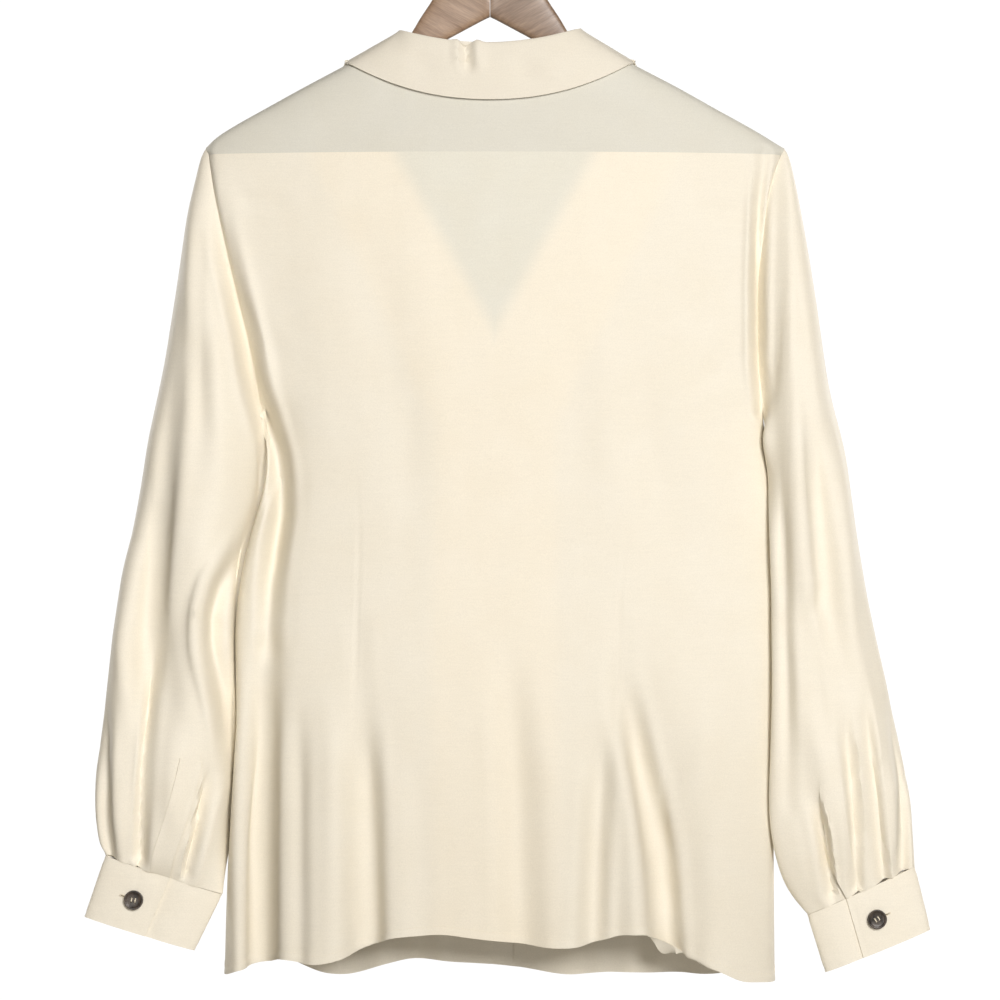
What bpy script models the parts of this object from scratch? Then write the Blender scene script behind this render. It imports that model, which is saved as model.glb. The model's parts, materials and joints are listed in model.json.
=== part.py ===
"""Long-sleeved silk blouse on a wooden hanger, hung by the hanger's hook.

Metres, +Z up. The blouse's front faces -Y and its back +Y; +X is the wearer's left.
The origin is the rail's place in the hook: the top of the hook's inside.
Tables are in millimetres and are read through MM.
"""

import math

import bmesh
import bpy
from mathutils import Vector

MM = 0.001

# ------------------------------------------------------------------ cloth and seams
CLOTH_WALL = 1.0 * MM
DOUBLE_WALL = 1.4 * MM          # collar and cuffs: two layers and interfacing
SEAM_GAP = 0.4 * MM
ARMHOLE_GAP = 1.5 * MM          # the sleeve meets the body at an angle, so it starts further off
LAP_STEP = 1.2 * MM             # half the distance between the two lapped front edges
BACK, FRONT = 1, -1

# ------------------------------------------------------------------ heights on the blouse
NECK_Z = -134.5 * MM            # neck point, where the shoulder ridge meets the neckline
NECK_HALF = 78 * MM
SHOULDER_Z = -218 * MM          # top of the armhole
UNDERARM_Z = -427 * MM
ARMHOLE_STEPS = 10              # points along each half of an armhole
ARMHOLE_MID = (SHOULDER_Z + UNDERARM_Z) / 2
ARMHOLE_HALF = (SHOULDER_Z - UNDERARM_Z) / 2
FLARE_Z = -605 * MM             # below this, rows spread out to the curved hem
HEM_Z = -860 * MM
CENTRE_BACK_NECK_Z = -165 * MM
NOSE = 2.6                      # how square the body's plan is at its sides; 2 is an ellipse
SWEEP_TOP, SWEEP_LOW = 14 * MM, 5 * MM
SWEEP_HALF = 222 * MM

# height, half widths to the wearer's left and right, depths of back and front from the mid plane
BODY_COLUMNS = ("z", "left", "right", "back", "front")
BODY_ROWS = (
    (-134.5, 78, 78, 16, 16),
    (-150.0, 105, 105, 17, 17),
    (-170.0, 143.5, 144.5, 18, 19),
    (-189.0, 178.4, 178.8, 19, 20),
    (-204.4, 207, 208, 20, 22),
    (-212.0, 217, 220, 20, 23),
    (-218.0, 222, 230, 21, 23),
    (-223.1, 219, 227, 21, 24),
    (-250.0, 215, 217, 23, 26),
    (-322.0, 199, 209, 27, 31),
    (-385.0, 184, 209, 29, 34),
    (-427.0, 177, 213, 30, 36),
    (-470.0, 174, 217.5, 31, 37),
    (-500.0, 179, 220, 32, 38),
    (-530.0, 192, 222, 33, 38),
    (-600.0, 199, 223, 35, 39),
    (-680.0, 197, 222, 38, 41),
    (-760.0, 204, 221, 41, 43),
    (-870.0, 207, 222, 44, 45),
)

# hem height along the back and the front
HEM_COLUMNS = ("x", "back", "front")
HEM_ROWS = (
    (-221, -868, -862),
    (-195, -866, -864),
    (-172, -855, -866),
    (-148, -842, -866),
    (-124, -828, -866),
    (-94, -829, -865),
    (-73, -838, -871),
    (-47, -838, -865),
    (-10, -833, -861),
    (39, -827, -857),
    (74, -830, -854),
    (94, -838, -864),
    (117, -847, -869),
    (134, -852, -866),
    (160, -847, -853),
    (183, -854, -853),
    (207, -863, -858),
)

# largest folds of the body: a line from top to low end, its half width, and how far it sinks in
# at each end (a ridge has a negative depth); face 1 is the back and -1 the front
FOLD_COLUMNS = ("face", "x_top", "z_top", "x_low", "z_low", "half", "deep_top", "deep_low")
BODY_FOLDS = (
    (1, 170, -415, 164, -500, 10, 10, 24),
    (1, 164, -500, 172, -570, 11, 24, 14),
    (1, 172, -570, 177, -650, 14, 14, 9),
    (1, 177, -650, 172, -720, 14, 9, 14),
    (1, 172, -720, 176, -870, 14, 14, 14),
    (1, 132, -600, 134, -870, 18, 0, -6),
    (1, 98, -650, 97, -870, 16, 0, 11),
    (1, -26, -640, -28, -870, 20, 0, 7),
    (1, -84, -690, -86, -870, 14, 0, 9),
    (1, -106, -610, -138, -770, 16, 0, 14),
    (1, -138, -770, -145, -870, 18, 14, 15),
    (-1, 150, -430, 160, -870, 20, 4, 12),
    (-1, 92, -600, 84, -870, 22, 0, 10),
    (-1, 30, -640, 36, -870, 20, 0, 7),
    (-1, -48, -600, -40, -870, 20, 0, 7),
    (-1, -98, -560, -110, -870, 22, 0, 12),
    (-1, -168, -450, -172, -870, 20, 3, 9),
)

# how far the armhole's edge stands behind and before the mid plane
ARMHOLE_DEPTH = {
    (1, "left"): 15 * MM,
    (1, "right"): 11 * MM,
    (-1, "left"): 18 * MM,
    (-1, "right"): 18 * MM,
}

# front neckline: the wearer's left edge; the right one mirrors it
NECKLINE_COLUMNS = ("z", "x")
NECKLINE_ROWS = (
    (-134, 77),
    (-160, 80),
    (-190, 80.5),
    (-212, 77),
    (-236, 66),
    (-275, 45),
    (-315, 23),
    (-350, 4),
    (-380, -11),
    (-410, -17),
    (-440, -18),
    (-900, -18),
)

BACK_SPREAD = (0, 0.09, 0.18, 0.27, 0.365, 0.44, 0.52, 0.6, 0.68, 0.75, 0.81, 0.87, 0.92, 0.96, 0.988, 1)
FRONT_SPREAD = (0, 0.1, 0.22, 0.34, 0.46, 0.58, 0.69, 0.79, 0.88, 0.94, 0.982, 1)
RIDGE_LEVELS = (-136, -145, -158, -172, -186, -198, -208, -214)
LOWER_LEVELS = (-470, -515, -560, -605)
FLARE_SHARES = (0.25, 0.5, 0.75, 0.96, 1)
YOKE_SHARES = (0, 0.44, 0.75, 0.94, 1)


def read(rows, columns, key, value, wanted):
    """A table's wanted column where its key column has that value, in straight lines between rows."""
    k, w = columns.index(key), columns.index(wanted)
    ordered = sorted(rows, key=lambda row: row[k])
    value = value / MM
    if value <= ordered[0][k]:
        return ordered[0][w] * MM
    for low, high in zip(ordered, ordered[1:]):
        if value <= high[k]:
            share = (value - low[k]) / (high[k] - low[k])
            return (low[w] + (high[w] - low[w]) * share) * MM
    return ordered[-1][w] * MM


def body(z, wanted):
    return read(BODY_ROWS, BODY_COLUMNS, "z", z, wanted)


def side_of(x):
    return "left" if x >= 0 else "right"


def sign_of(side):
    return 1 if side == "left" else -1


def smooth(share):
    share = min(1.0, max(0.0, share))
    return share * share * (3 - 2 * share)


# ------------------------------------------------------------------ the body's form
def sweep(x, z):
    """The hanger's arms lean forward towards their ends, and the cloth with them."""
    share = smooth((SHOULDER_Z - z) / (SHOULDER_Z + 0.86))
    reach = SWEEP_TOP + (SWEEP_LOW - SWEEP_TOP) * share
    return -reach * (x / SWEEP_HALF) ** 2


def armhole_depth(z, side, face):
    off_middle = (z - ARMHOLE_MID) / ARMHOLE_HALF
    if abs(off_middle) >= 1:
        return 0.0
    return ARMHOLE_DEPTH[(face, side)] * math.sqrt(1 - off_middle ** 2)


def fold_depth(x, z, face):
    """How far the largest folds sink the cloth in at a point of the body."""
    total = 0.0
    for values in BODY_FOLDS:
        fold = dict(zip(FOLD_COLUMNS, values))
        if fold["face"] != face:
            continue
        share = (fold["z_top"] * MM - z) / ((fold["z_top"] - fold["z_low"]) * MM)
        if not 0 <= share <= 1:
            continue
        middle = (fold["x_top"] + (fold["x_low"] - fold["x_top"]) * share) * MM
        off = (x - middle) / (fold["half"] * MM)
        deep = (fold["deep_top"] + (fold["deep_low"] - fold["deep_top"]) * share) * MM
        total += deep * math.exp(-off * off)
    return total


def body_point(x, z, face, lift=0.0):
    """The mid surface of the back (face 1) or front (face -1) at a height and a place across."""
    half = body(z, side_of(x)) + 1.2 * lift
    share = min(1.0, abs(x) / half)
    edge = armhole_depth(z, side_of(x), face)
    depth = body(z, "back" if face == BACK else "front") + lift
    bulge = depth * (1 - share ** NOSE) ** (1 / NOSE)
    fold = fold_depth(x, z, face) * (1 - share ** 10)
    y = sweep(x, z) + face * (SEAM_GAP / 2 + bulge + edge * share ** 10 - fold)
    return Vector((x, y, z))


def hem(x, face):
    return read(HEM_ROWS, HEM_COLUMNS, "x", x, "back" if face == BACK else "front")


def armhole_level(step):
    return ARMHOLE_MID + ARMHOLE_HALF * math.cos(math.pi * step / ARMHOLE_STEPS)


YOKE_Z = armhole_level(1)


def lower_levels(x, face):
    """Heights of a panel's rows below the underarm, ending on the hem at a place across."""
    low = hem(x, face)
    flare = [FLARE_Z + (low - FLARE_Z) * share for share in FLARE_SHARES]
    return [level * MM for level in LOWER_LEVELS] + flare


# ------------------------------------------------------------------ making solids
def finish(name, colour, roughness, metallic=0.0):
    material = bpy.data.materials.new(name)
    material.use_nodes = True
    shader = material.node_tree.nodes["Principled BSDF"]
    shader.inputs["Base Color"].default_value = (*colour, 1)
    shader.inputs["Roughness"].default_value = roughness
    shader.inputs["Metallic"].default_value = metallic
    return material


def mesh_object(name, mesh, material):
    thing = bpy.data.objects.new(name, mesh)
    bpy.context.scene.collection.objects.link(thing)
    mesh.materials.append(material)
    mesh.shade_smooth()
    mesh.set_sharp_from_angle(angle=math.radians(40))
    return thing


def grid_mesh(name, rows, weld=1e-6):
    """Rows of points joined into quads; points in one place become one."""
    shape = bmesh.new()
    made = [[shape.verts.new(point) for point in row] for row in rows]
    for above, below in zip(made, made[1:]):
        for k in range(len(above) - 1):
            shape.faces.new((above[k], above[k + 1], below[k + 1], below[k]))
    bmesh.ops.remove_doubles(shape, verts=shape.verts, dist=weld)
    bmesh.ops.recalc_face_normals(shape, faces=shape.faces)
    mesh = bpy.data.meshes.new(name)
    shape.to_mesh(mesh)
    shape.free()
    return mesh


def cloth(name, rows, material, wall=CLOTH_WALL):
    """A piece of cloth: a grid's surface with a wall half to each side of it."""
    piece = mesh_object(name, grid_mesh(name, rows), material)
    thicken = piece.modifiers.new("wall", "SOLIDIFY")
    thicken.thickness = wall
    thicken.offset = 0
    return piece


def lathe(name, profile, steps, material):
    """A closed solid turned about +Z from a profile that starts and ends on the axis."""
    shape = bmesh.new()
    verts = [shape.verts.new((radius, 0, height)) for radius, height in profile]
    edges = [shape.edges.new(pair) for pair in zip(verts, verts[1:])]
    bmesh.ops.spin(
        shape, geom=verts + edges, axis=(0, 0, 1), cent=(0, 0, 0),
        angle=2 * math.pi, steps=steps, use_merge=True,
    )
    bmesh.ops.remove_doubles(shape, verts=shape.verts, dist=1e-6)
    bmesh.ops.recalc_face_normals(shape, faces=shape.faces)
    mesh = bpy.data.meshes.new(name)
    shape.to_mesh(mesh)
    shape.free()
    return mesh_object(name, mesh, material)


# ------------------------------------------------------------------ yoke, back and fronts
def back_neckline(x):
    dip = 1 - min(1.0, abs(x) / NECK_HALF) ** 2.4
    return NECK_Z + (CENTRE_BACK_NECK_Z - NECK_Z) * dip


def front_neckline(z, side):
    edge = read(NECKLINE_ROWS, NECKLINE_COLUMNS, "z", z, "x")
    return edge if side == "left" else -edge


def make_yoke(silk):
    """The yoke lies on the hanger, from the seam across the back up to neckline and shoulder ridge."""
    tops = []
    for side, sign in (("left", 1), ("right", -1)):
        ridge = [(sign * body(z * MM, side), z * MM) for z in RIDGE_LEVELS]
        ridge.append((sign * body(SHOULDER_Z, side), SHOULDER_Z))
        neck = [(sign * x * MM, back_neckline(x * MM)) for x in (14, 28, 42, 56, 70)]
        tops += [neck + ridge]
    columns = tops[1][::-1] + [(0.0, back_neckline(0))] + tops[0]
    base = YOKE_Z + SEAM_GAP / 2
    rows = []
    for share in YOKE_SHARES:
        row = []
        for x, top in columns:
            side = side_of(x)
            narrow = body(base, side) / body(SHOULDER_Z, side)
            at = x * (narrow + (1 - narrow) * share)
            row.append(body_point(at, base + (top - base) * share, BACK))
        rows.append(row)
    cloth("yoke", rows, silk)


def make_back(silk):
    """The back hangs from the yoke seam, with half armholes, side seams and an arched hem."""
    spread = [-s for s in BACK_SPREAD[:0:-1]] + list(BACK_SPREAD)
    levels = [YOKE_Z - SEAM_GAP / 2]
    levels += [armhole_level(step) for step in range(2, ARMHOLE_STEPS + 1)]
    count = len(levels) + len(LOWER_LEVELS) + len(FLARE_SHARES)
    rows = []
    for k in range(count):
        row = []
        for share in spread:
            z = (levels + lower_levels(share * body(HEM_Z, side_of(share)), BACK))[k]
            row.append(body_point(share * body(z, side_of(share)), z, BACK))
        rows.append(row)
    cloth("back", rows, silk)


def lap(x, side):
    """The wearer's right front laps over the left one: each steps off the common surface."""
    near = 1 - smooth((abs(x) - 0.02) / 0.045)
    return near * LAP_STEP * (1 if side == "left" else -1)


def make_front(side, silk):
    """A front hangs from the shoulder ridge, between its neckline or lapped edge and the side seam."""
    sign = sign_of(side)
    levels = [z * MM for z in RIDGE_LEVELS]
    levels += [armhole_level(step) for step in range(ARMHOLE_STEPS + 1)]
    count = len(levels) + len(LOWER_LEVELS) + len(FLARE_SHARES)
    rows = []
    low_inner, low_outer = front_neckline(HEM_Z, side), sign * body(HEM_Z, side)
    for k in range(count):
        row = []
        for share in FRONT_SPREAD:
            low_x = low_inner + (low_outer - low_inner) * share
            z = (levels + lower_levels(low_x, FRONT))[k]
            inner, outer = front_neckline(z, side), sign * body(z, side)
            x = inner + (outer - inner) * share
            point = body_point(x, z, FRONT)
            point.y += lap(x, side)
            row.append(point)
        rows.append(row)
    cloth("front_" + side, rows, silk)


# ------------------------------------------------------------------ collar
COLLAR_FALL_HALF = 113 * MM      # where the collar's outer edge crosses the shoulder ridge
COLLAR_FALL_Z, COLLAR_FALL_RISE = -182.6 * MM, 31 * MM
COLLAR_LIFT = 2.9 * MM           # collar's mid surface above the cloth that it lies on
ROLL_HALF, ROLL_Z, ROLL_RISE = 71 * MM, -139 * MM, 12 * MM
ROLL_LEAN = 0.7 * MM               # the roll stands a little lower on the wearer's left
ROLL_THICK = 2 * MM              # half the roll's thickness
NECK_TURNS = (90, 84, 76, 64, 50, 34, 17, 0)     # degrees from centre back to each section

# the collar down each front: where its section crosses the neckline, its outer edge, how far its
# seam reaches under the front, and how far the roll stands off the neckline
LEAF_COLUMNS = ("neck_z", "edge_x", "edge_z", "hold", "stand")
LEAF_ROWS = (
    (-134.9, 113.2, -151.9, -2, 7.4),
    (-136.4, 113.8, -152.9, -2, 7),
    (-139.5, 115.3, -155.2, -2, 6.5),
    (-147, 118, -161.5, -1.5, 5.5),
    (-163, 119.5, -178, 1, 4.2),
    (-186, 118, -202, 4, 3.4),
    (-212, 111, -230, 6, 3),
    (-240, 98, -256, 6, 2.8),
    (-272, 77, -286, 6, 2.7),
    (-305, 50, -316, 6, 2.6),
    (-330, 26, -336, 5, 2.6),
    (-342, 14.5, -343, 3, 2.6),
)


def back_section(degrees, sign):
    """The collar's section at an angle from centre back: seam, stand, roll and fall."""
    across, along = math.sin(math.radians(degrees)), math.cos(math.radians(degrees))
    neck_x = sign * NECK_HALF * across
    neck = body_point(neck_x, back_neckline(neck_x), BACK)
    inwards, up = Vector((-sign * across, -along, 0)), Vector((0, 0, MM))
    seam = neck + inwards * 2 * MM + up * (1.4 - 5 * along)
    roll_z = ROLL_Z + (ROLL_RISE - sign * ROLL_LEAN) * across ** 2
    roll = Vector((sign * ROLL_HALF * across, neck.y + inwards.y * MM, roll_z))
    edge_z = COLLAR_FALL_Z + COLLAR_FALL_RISE * across ** 2.2
    edge = body_point(sign * COLLAR_FALL_HALF * across, edge_z, BACK, COLLAR_LIFT)
    inside = roll + inwards * ROLL_THICK - up * 2.5
    outside = roll - inwards * ROLL_THICK - up * 2
    near = outside.lerp(edge, 0.4) - inwards * 1.6 * MM * (1 - across ** 4)
    far = outside.lerp(edge, 0.75) - inwards * MM * (1 - across ** 4)
    return [seam, seam.lerp(inside, 0.6), inside, roll, outside, near, far, edge]


def front_section(values, side):
    """The collar's section on a front: it wraps the neckline and its leaf lies on the front."""
    leaf = dict(zip(LEAF_COLUMNS, values))
    sign = sign_of(side)
    neck_z, edge_z = leaf["neck_z"] * MM, leaf["edge_z"] * MM
    neck_x, edge_x = front_neckline(neck_z, side), sign * leaf["edge_x"] * MM
    stand = Vector((-sign * leaf["stand"], 0, leaf["stand"] - 2.6)) * MM

    def on_front(share, lift):
        x = neck_x + (edge_x - neck_x) * share
        point = body_point(x, neck_z + (edge_z - neck_z) * share, FRONT, lift)
        point.y += lap(x, side)
        return point

    seam = on_front(leaf["hold"] * MM / abs(edge_x - neck_x), -1.8 * MM)
    inside = on_front(0, -1.9 * MM) + stand * 0.6
    roll = on_front(0, 0) + stand
    outside = on_front(0, COLLAR_LIFT) + stand * 0.3
    leaf_points = [on_front(share, COLLAR_LIFT) for share in (0.35, 0.7, 1)]
    return [seam, seam.lerp(inside, 0.5), inside, roll, outside] + leaf_points


def make_collar(silk):
    """One long leaf, folded over a roll: up one front edge, round the neck and down the other."""
    left = [front_section(values, "left") for values in LEAF_ROWS[::-1]]
    left += [back_section(degrees, 1) for degrees in NECK_TURNS]
    right = [back_section(degrees, -1) for degrees in NECK_TURNS[-2::-1]]
    right += [front_section(values, "right") for values in LEAF_ROWS]
    cloth("collar", left + right, silk, DOUBLE_WALL)


# ------------------------------------------------------------------ sleeves and cuffs
SLEEVE_COLUMNS_ROUND = 20
SLIT_COLUMN = 6                  # the cuff's slit runs along this column, on the back of the sleeve
SLIT_TOP_ROW = 9
CUFF_LENGTH_ROWS = (0, 0.5, 1)

# each row is a tilted ring: its outer and inner edge points, its middle's depth, how far it bulges
# back and front, how many degrees the cloth is turned about the sleeve, and how far its inner edge
# leans back; the left one tucks in before the body's side, and the right one laps over it
SLEEVE_COLUMNS = ("out_x", "out_z", "in_x", "in_z", "y", "back", "front", "turn", "lean")
SLEEVE_ROWS = {
    "left": (
        (227, -229, 179.5, -441, -14, 20, 24, 0, -3),
        (235, -263, 178, -459, -13, 26, 29, 0, -9),
        (242, -302, 176.5, -481, -12, 31, 33, 0, -15),
        (250, -353, 178, -503, -11, 34, 36, 0, -19),
        (259, -407, 187, -530, -9, 35, 37, 0, -22),
        (270, -466, 193, -565, -8, 35, 36, 0, -24),
        (281, -528, 195, -602, -7, 34, 35, 2, -24),
        (292, -600, 195, -648, -5, 33, 33, 7, -23),
        (303, -680, 196, -701, -3, 31, 31, 11.3, -20),
        (307, -723, 200, -744, -2, 27, 28, 4, -15),
        (304, -754, 206.5, -780, -1, 18, 18, -6, -4),
        (299.5, -770, 209, -800, 0, 8, 8, -11.2, 0),
    ),
    "right": (
        (235, -230, 217, -440, -13, 22, 24, 0, 2),
        (242, -263, 218, -462, -12, 27, 29, 0, 6),
        (249, -302, 217.5, -493, -11, 31, 33, 0, 12),
        (257, -353, 218, -524, -10, 34, 36, 0, 17),
        (265, -411, 219.5, -563, -9, 35, 37, 0, 16),
        (275, -468, 220, -602, -8, 35, 36, 0, 16),
        (287, -530, 220, -645, -7, 34, 35, -1, 16),
        (301, -602, 218, -692, -5, 33, 33, -2, 15),
        (319, -680, 217, -736, -3, 31, 31, -3, 13),
        (326, -723, 222, -768, -2, 27, 28, -2, 9),
        (329, -755, 232, -795, -1, 18, 18, -1, 3),
        (330.5, -778.5, 248, -816, 0, 8, 8, -1, 0),
    ),
}

# largest folds and pleats of a sleeve: column, first and last row, and how far they sink in there
SLEEVE_FOLD_COLUMNS = ("column", "first", "last", "deep_first", "deep_last")
SLEEVE_FOLDS = {
    "left": (
        (3, 3, 8, 2, 5),
        (4, 8, 11, 4, 5),
        (2, 9, 11, 2, 4),
        (15, 6, 11, 2, 5),
        (18, 7, 11, 1, 4),
    ),
    "right": (
        (4, 3, 8, 2, 5),
        (4, 9, 11, 4, 5),
        (2, 8, 11, 2, 4),
        (15, 6, 11, 2, 5),
        (18, 7, 11, 1, 4),
    ),
}

# the column of each sleeve that stands clear of the body's side, its first and last row, and how far
SLEEVE_CLEAR = {"left": (9, 2, 10, 3.5), "right": (11, 2, 10, 6.5)}

# the cuff's lower edge points, and the lap of its ends
CUFF_LOW = {
    "left": ((316, -818), (231, -844)),
    "right": ((343, -828), (262, -861)),
}
CUFF_HALF_DEPTH = 8 * MM
UNDER_STEP = 2.6 * MM            # how far the under end of the slit and cuff lies below the top end
UNDER_TURNS = (14, 27)           # degrees that the cuff's under end reaches beneath the top end


def ring_point(outer, inner, depth_mid, back, front, degrees, sunk=0.0, lean=0.0):
    """A point of a tilted oval ring: 0 degrees is its outer edge, 90 its back, 180 its inner edge."""
    angle = math.radians(degrees)
    middle, reach = (outer + inner) / 2, (outer - inner) / 2
    out = Vector((reach.x * math.cos(angle), 0, reach.z * math.cos(angle)))
    bulge = (back if math.sin(angle) >= 0 else front) * math.sin(angle)
    off = out + Vector((0, bulge, 0))
    shrink = 1 - sunk / max(off.length, MM)
    leaning = lean * max(0.0, -math.cos(angle)) ** 4
    return Vector((middle.x, depth_mid + leaning, middle.z)) + off * shrink


def column_angle(column):
    return 360 / SLEEVE_COLUMNS_ROUND * column


def sleeve_fold(side, column, row):
    total = 0.0
    for values in SLEEVE_FOLDS[side]:
        fold = dict(zip(SLEEVE_FOLD_COLUMNS, values))
        if column == fold["column"] and fold["first"] <= row <= fold["last"]:
            share = (row - fold["first"]) / (fold["last"] - fold["first"])
            total += (fold["deep_first"] + (fold["deep_last"] - fold["deep_first"]) * share) * MM
    return total if row < len(SLEEVE_ROWS[side]) else 0.0


def armhole_point(side, column):
    """The sleeve's first ring: the armhole, moved out from the body's edge."""
    sign, angle = sign_of(side), math.radians(column_angle(column))
    z = ARMHOLE_MID + ARMHOLE_HALF * math.cos(angle)
    face = BACK if math.sin(angle) >= 0 else FRONT
    x = sign * body(z, side)
    y = sweep(x, z) + face * (SEAM_GAP / 2 + armhole_depth(z, side, face)) * (abs(math.sin(angle)) > 1e-6)
    return Vector((x + sign * ARMHOLE_GAP, y, z))


def sleeve_point(side, row, column, under=False):
    """Row 0 is the armhole and the last row the cuff seam; under is the slit's lower edge."""
    if row == 0:
        return armhole_point(side, column)
    ring = dict(zip(SLEEVE_COLUMNS, SLEEVE_ROWS[side][row - 1]))
    sign, last = sign_of(side), len(SLEEVE_ROWS[side])
    outer = Vector((sign * ring["out_x"], 0, ring["out_z"])) * MM
    inner = Vector((sign * ring["in_x"], 0, ring["in_z"])) * MM
    degrees, sunk = column_angle(column) + ring["turn"], sleeve_fold(side, column, row)
    if under:
        sunk += UNDER_STEP + (2.5 * MM if row < last else 0)
        degrees -= 7 if row < last else 0
    middle = (outer, inner, ring["y"] * MM)
    point = ring_point(*middle, ring["back"] * MM, ring["front"] * MM, degrees, sunk, ring["lean"] * MM)
    clear_column, first, end, clear = SLEEVE_CLEAR[side]
    if column == clear_column and first <= row <= end:
        point.x += sign * clear * MM
    return point


def round_columns():
    """Columns from the slit's under edge round the sleeve to its upper edge."""
    after = [(SLIT_COLUMN + k) % SLEEVE_COLUMNS_ROUND for k in range(SLEEVE_COLUMNS_ROUND + 1)]
    return after


def make_sleeve(side, silk):
    """A long sleeve from the armhole to the cuff, open at its slit, with its placket strip."""
    last = len(SLEEVE_ROWS[side])
    columns = round_columns()
    rows = []
    for row in range(last + 1):
        points = [sleeve_point(side, row, column) for column in columns]
        if row > SLIT_TOP_ROW:
            points[0] = sleeve_point(side, row, SLIT_COLUMN, under=True)
        rows.append(points)
    cloth("sleeve_" + side, rows, silk)
    make_placket(side, rows, silk)


def surface_normal(rows, r, c):
    """Outward normal of a grid of points at one of them."""
    down = rows[min(r + 1, len(rows) - 1)][c] - rows[r - 1][c]
    across = rows[r][c] - rows[r][c - 1]
    return down.cross(across).normalized()


def make_placket(side, rows, silk):
    """A strip sewn on along the slit's upper edge, made from the sleeve's own points moved out."""
    width = len(rows[0]) - 1
    strip = []
    for r in range(SLIT_TOP_ROW, len(rows)):
        line = []
        for c in (width - 1, width):
            normal = surface_normal(rows, r, c)
            if normal.y < 0:
                normal.negate()
            line.append(rows[r][c] + normal * (CLOTH_WALL + SEAM_GAP))
        if r == len(rows) - 1:
            line = [point.lerp(above, 0.04) for point, above in zip(line, strip[-1])]
        strip.append(line)
    cloth("placket_" + side, strip, silk)


def cuff_point(side, column_degrees, share, sunk):
    """A point of the cuff: share 0 is its seam with the sleeve and 1 its lower edge."""
    ring = dict(zip(SLEEVE_COLUMNS, SLEEVE_ROWS[side][-1]))
    sign = sign_of(side)
    top = [Vector((ring["out_x"], 0, ring["out_z"])), Vector((ring["in_x"], 0, ring["in_z"]))]
    low = [Vector((x, 0, z)) for x, z in CUFF_LOW[side]]
    length = (low[0] - top[0]).length
    share = (SEAM_GAP / MM + share * (length - SEAM_GAP / MM)) / length
    outer, inner = (top[k].lerp(low[k], share) * MM for k in (0, 1))
    outer.x, inner.x = sign * outer.x, sign * inner.x
    depth = CUFF_HALF_DEPTH
    return ring_point(outer, inner, ring["y"] * MM, depth, depth, column_degrees + ring["turn"], sunk)


def make_cuff(side, silk):
    """A doubled band closed round the wrist, its top end lapped over its under end."""
    degrees = [(column_angle(SLIT_COLUMN) - turn, UNDER_STEP) for turn in UNDER_TURNS[::-1]]
    degrees += [(column_angle(SLIT_COLUMN), UNDER_STEP)]
    degrees += [(column_angle(column), 0.0) for column in round_columns()[1:]]
    rows = [[cuff_point(side, turn, share, sunk) for turn, sunk in degrees] for share in CUFF_LENGTH_ROWS]
    cloth("cuff_" + side, rows, silk, DOUBLE_WALL)


# ------------------------------------------------------------------ buttons
BUTTON_RADIUS, BUTTON_HEIGHT = 7.5 * MM, 2.8 * MM
BUTTON_STEPS = 24
HOLE_RADIUS, HOLE_PITCH, HOLE_STEPS = 0.95 * MM, 1.7 * MM, 8
FIRST_BUTTON_Z, BUTTON_PITCH, FRONT_BUTTONS = -400 * MM, 77 * MM, 6
CUFF_BUTTON_BACK = 24            # degrees from the cuff's lapped end to its button
CUFF_BUTTON_SHARE = 0.5


def button_profile():
    """Half section of a rimmed, dished button, from the axis underneath to the axis on top."""
    r, h = BUTTON_RADIUS, BUTTON_HEIGHT
    outline = ((0, 0), (0.82, 0), (1, 0.34), (1, 0.72), (0.92, 1), (0.8, 1), (0.68, 0.74), (0, 0.7))
    return [(r * across, h * up) for across, up in outline]


def make_button(name, place, outwards, horn):
    """A four-hole button lying on the cloth, its face to the outside."""
    button = lathe(name, button_profile(), BUTTON_STEPS, horn)
    drill = bmesh.new()
    for x in (-HOLE_PITCH, HOLE_PITCH):
        for y in (-HOLE_PITCH, HOLE_PITCH):
            made = bmesh.ops.create_cone(
                drill, cap_ends=True, segments=HOLE_STEPS, radius1=HOLE_RADIUS,
                radius2=HOLE_RADIUS, depth=4 * BUTTON_HEIGHT,
            )
            bmesh.ops.translate(drill, verts=made["verts"], vec=(x, y, 0))
    mesh = bpy.data.meshes.new(name + "_drill")
    drill.to_mesh(mesh)
    drill.free()
    cutter = bpy.data.objects.new(name + "_drill", mesh)
    bpy.context.scene.collection.objects.link(cutter)
    cutter.hide_render = True
    cutter.display_type = "WIRE"
    cutter.parent = button
    cut = button.modifiers.new("holes", "BOOLEAN")
    cut.operation = "DIFFERENCE"
    cut.object = cutter
    button.location = place
    button.rotation_mode = "QUATERNION"
    button.rotation_quaternion = outwards.to_track_quat("Z", "X")


def make_buttons(horn):
    for k in range(FRONT_BUTTONS):
        z = FIRST_BUTTON_Z - k * BUTTON_PITCH
        surface = body_point(0, z, FRONT)
        slope = body_point(0, z - 8 * MM, FRONT) - body_point(0, z + 8 * MM, FRONT)
        outwards = Vector((0, slope.z, -slope.y)).normalized()
        lift = CLOTH_WALL / 2 + 0.6 * MM
        place = surface + Vector((0, -LAP_STEP, 0)) + outwards * lift
        make_button(f"front_button_{k + 1}", place, outwards, horn)
    for side in ("left", "right"):
        turn = column_angle(SLIT_COLUMN) - CUFF_BUTTON_BACK
        place = cuff_point(side, turn, CUFF_BUTTON_SHARE, 0)
        along = cuff_point(side, turn + 6, CUFF_BUTTON_SHARE, 0) - cuff_point(side, turn - 6, CUFF_BUTTON_SHARE, 0)
        down = cuff_point(side, turn, 1, 0) - cuff_point(side, turn, 0, 0)
        outwards = along.cross(down).normalized()
        if outwards.y < 0:
            outwards.negate()
        place += outwards * (DOUBLE_WALL / 2 + 0.6 * MM)
        make_button("cuff_button_" + side, place, outwards, horn)


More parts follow.
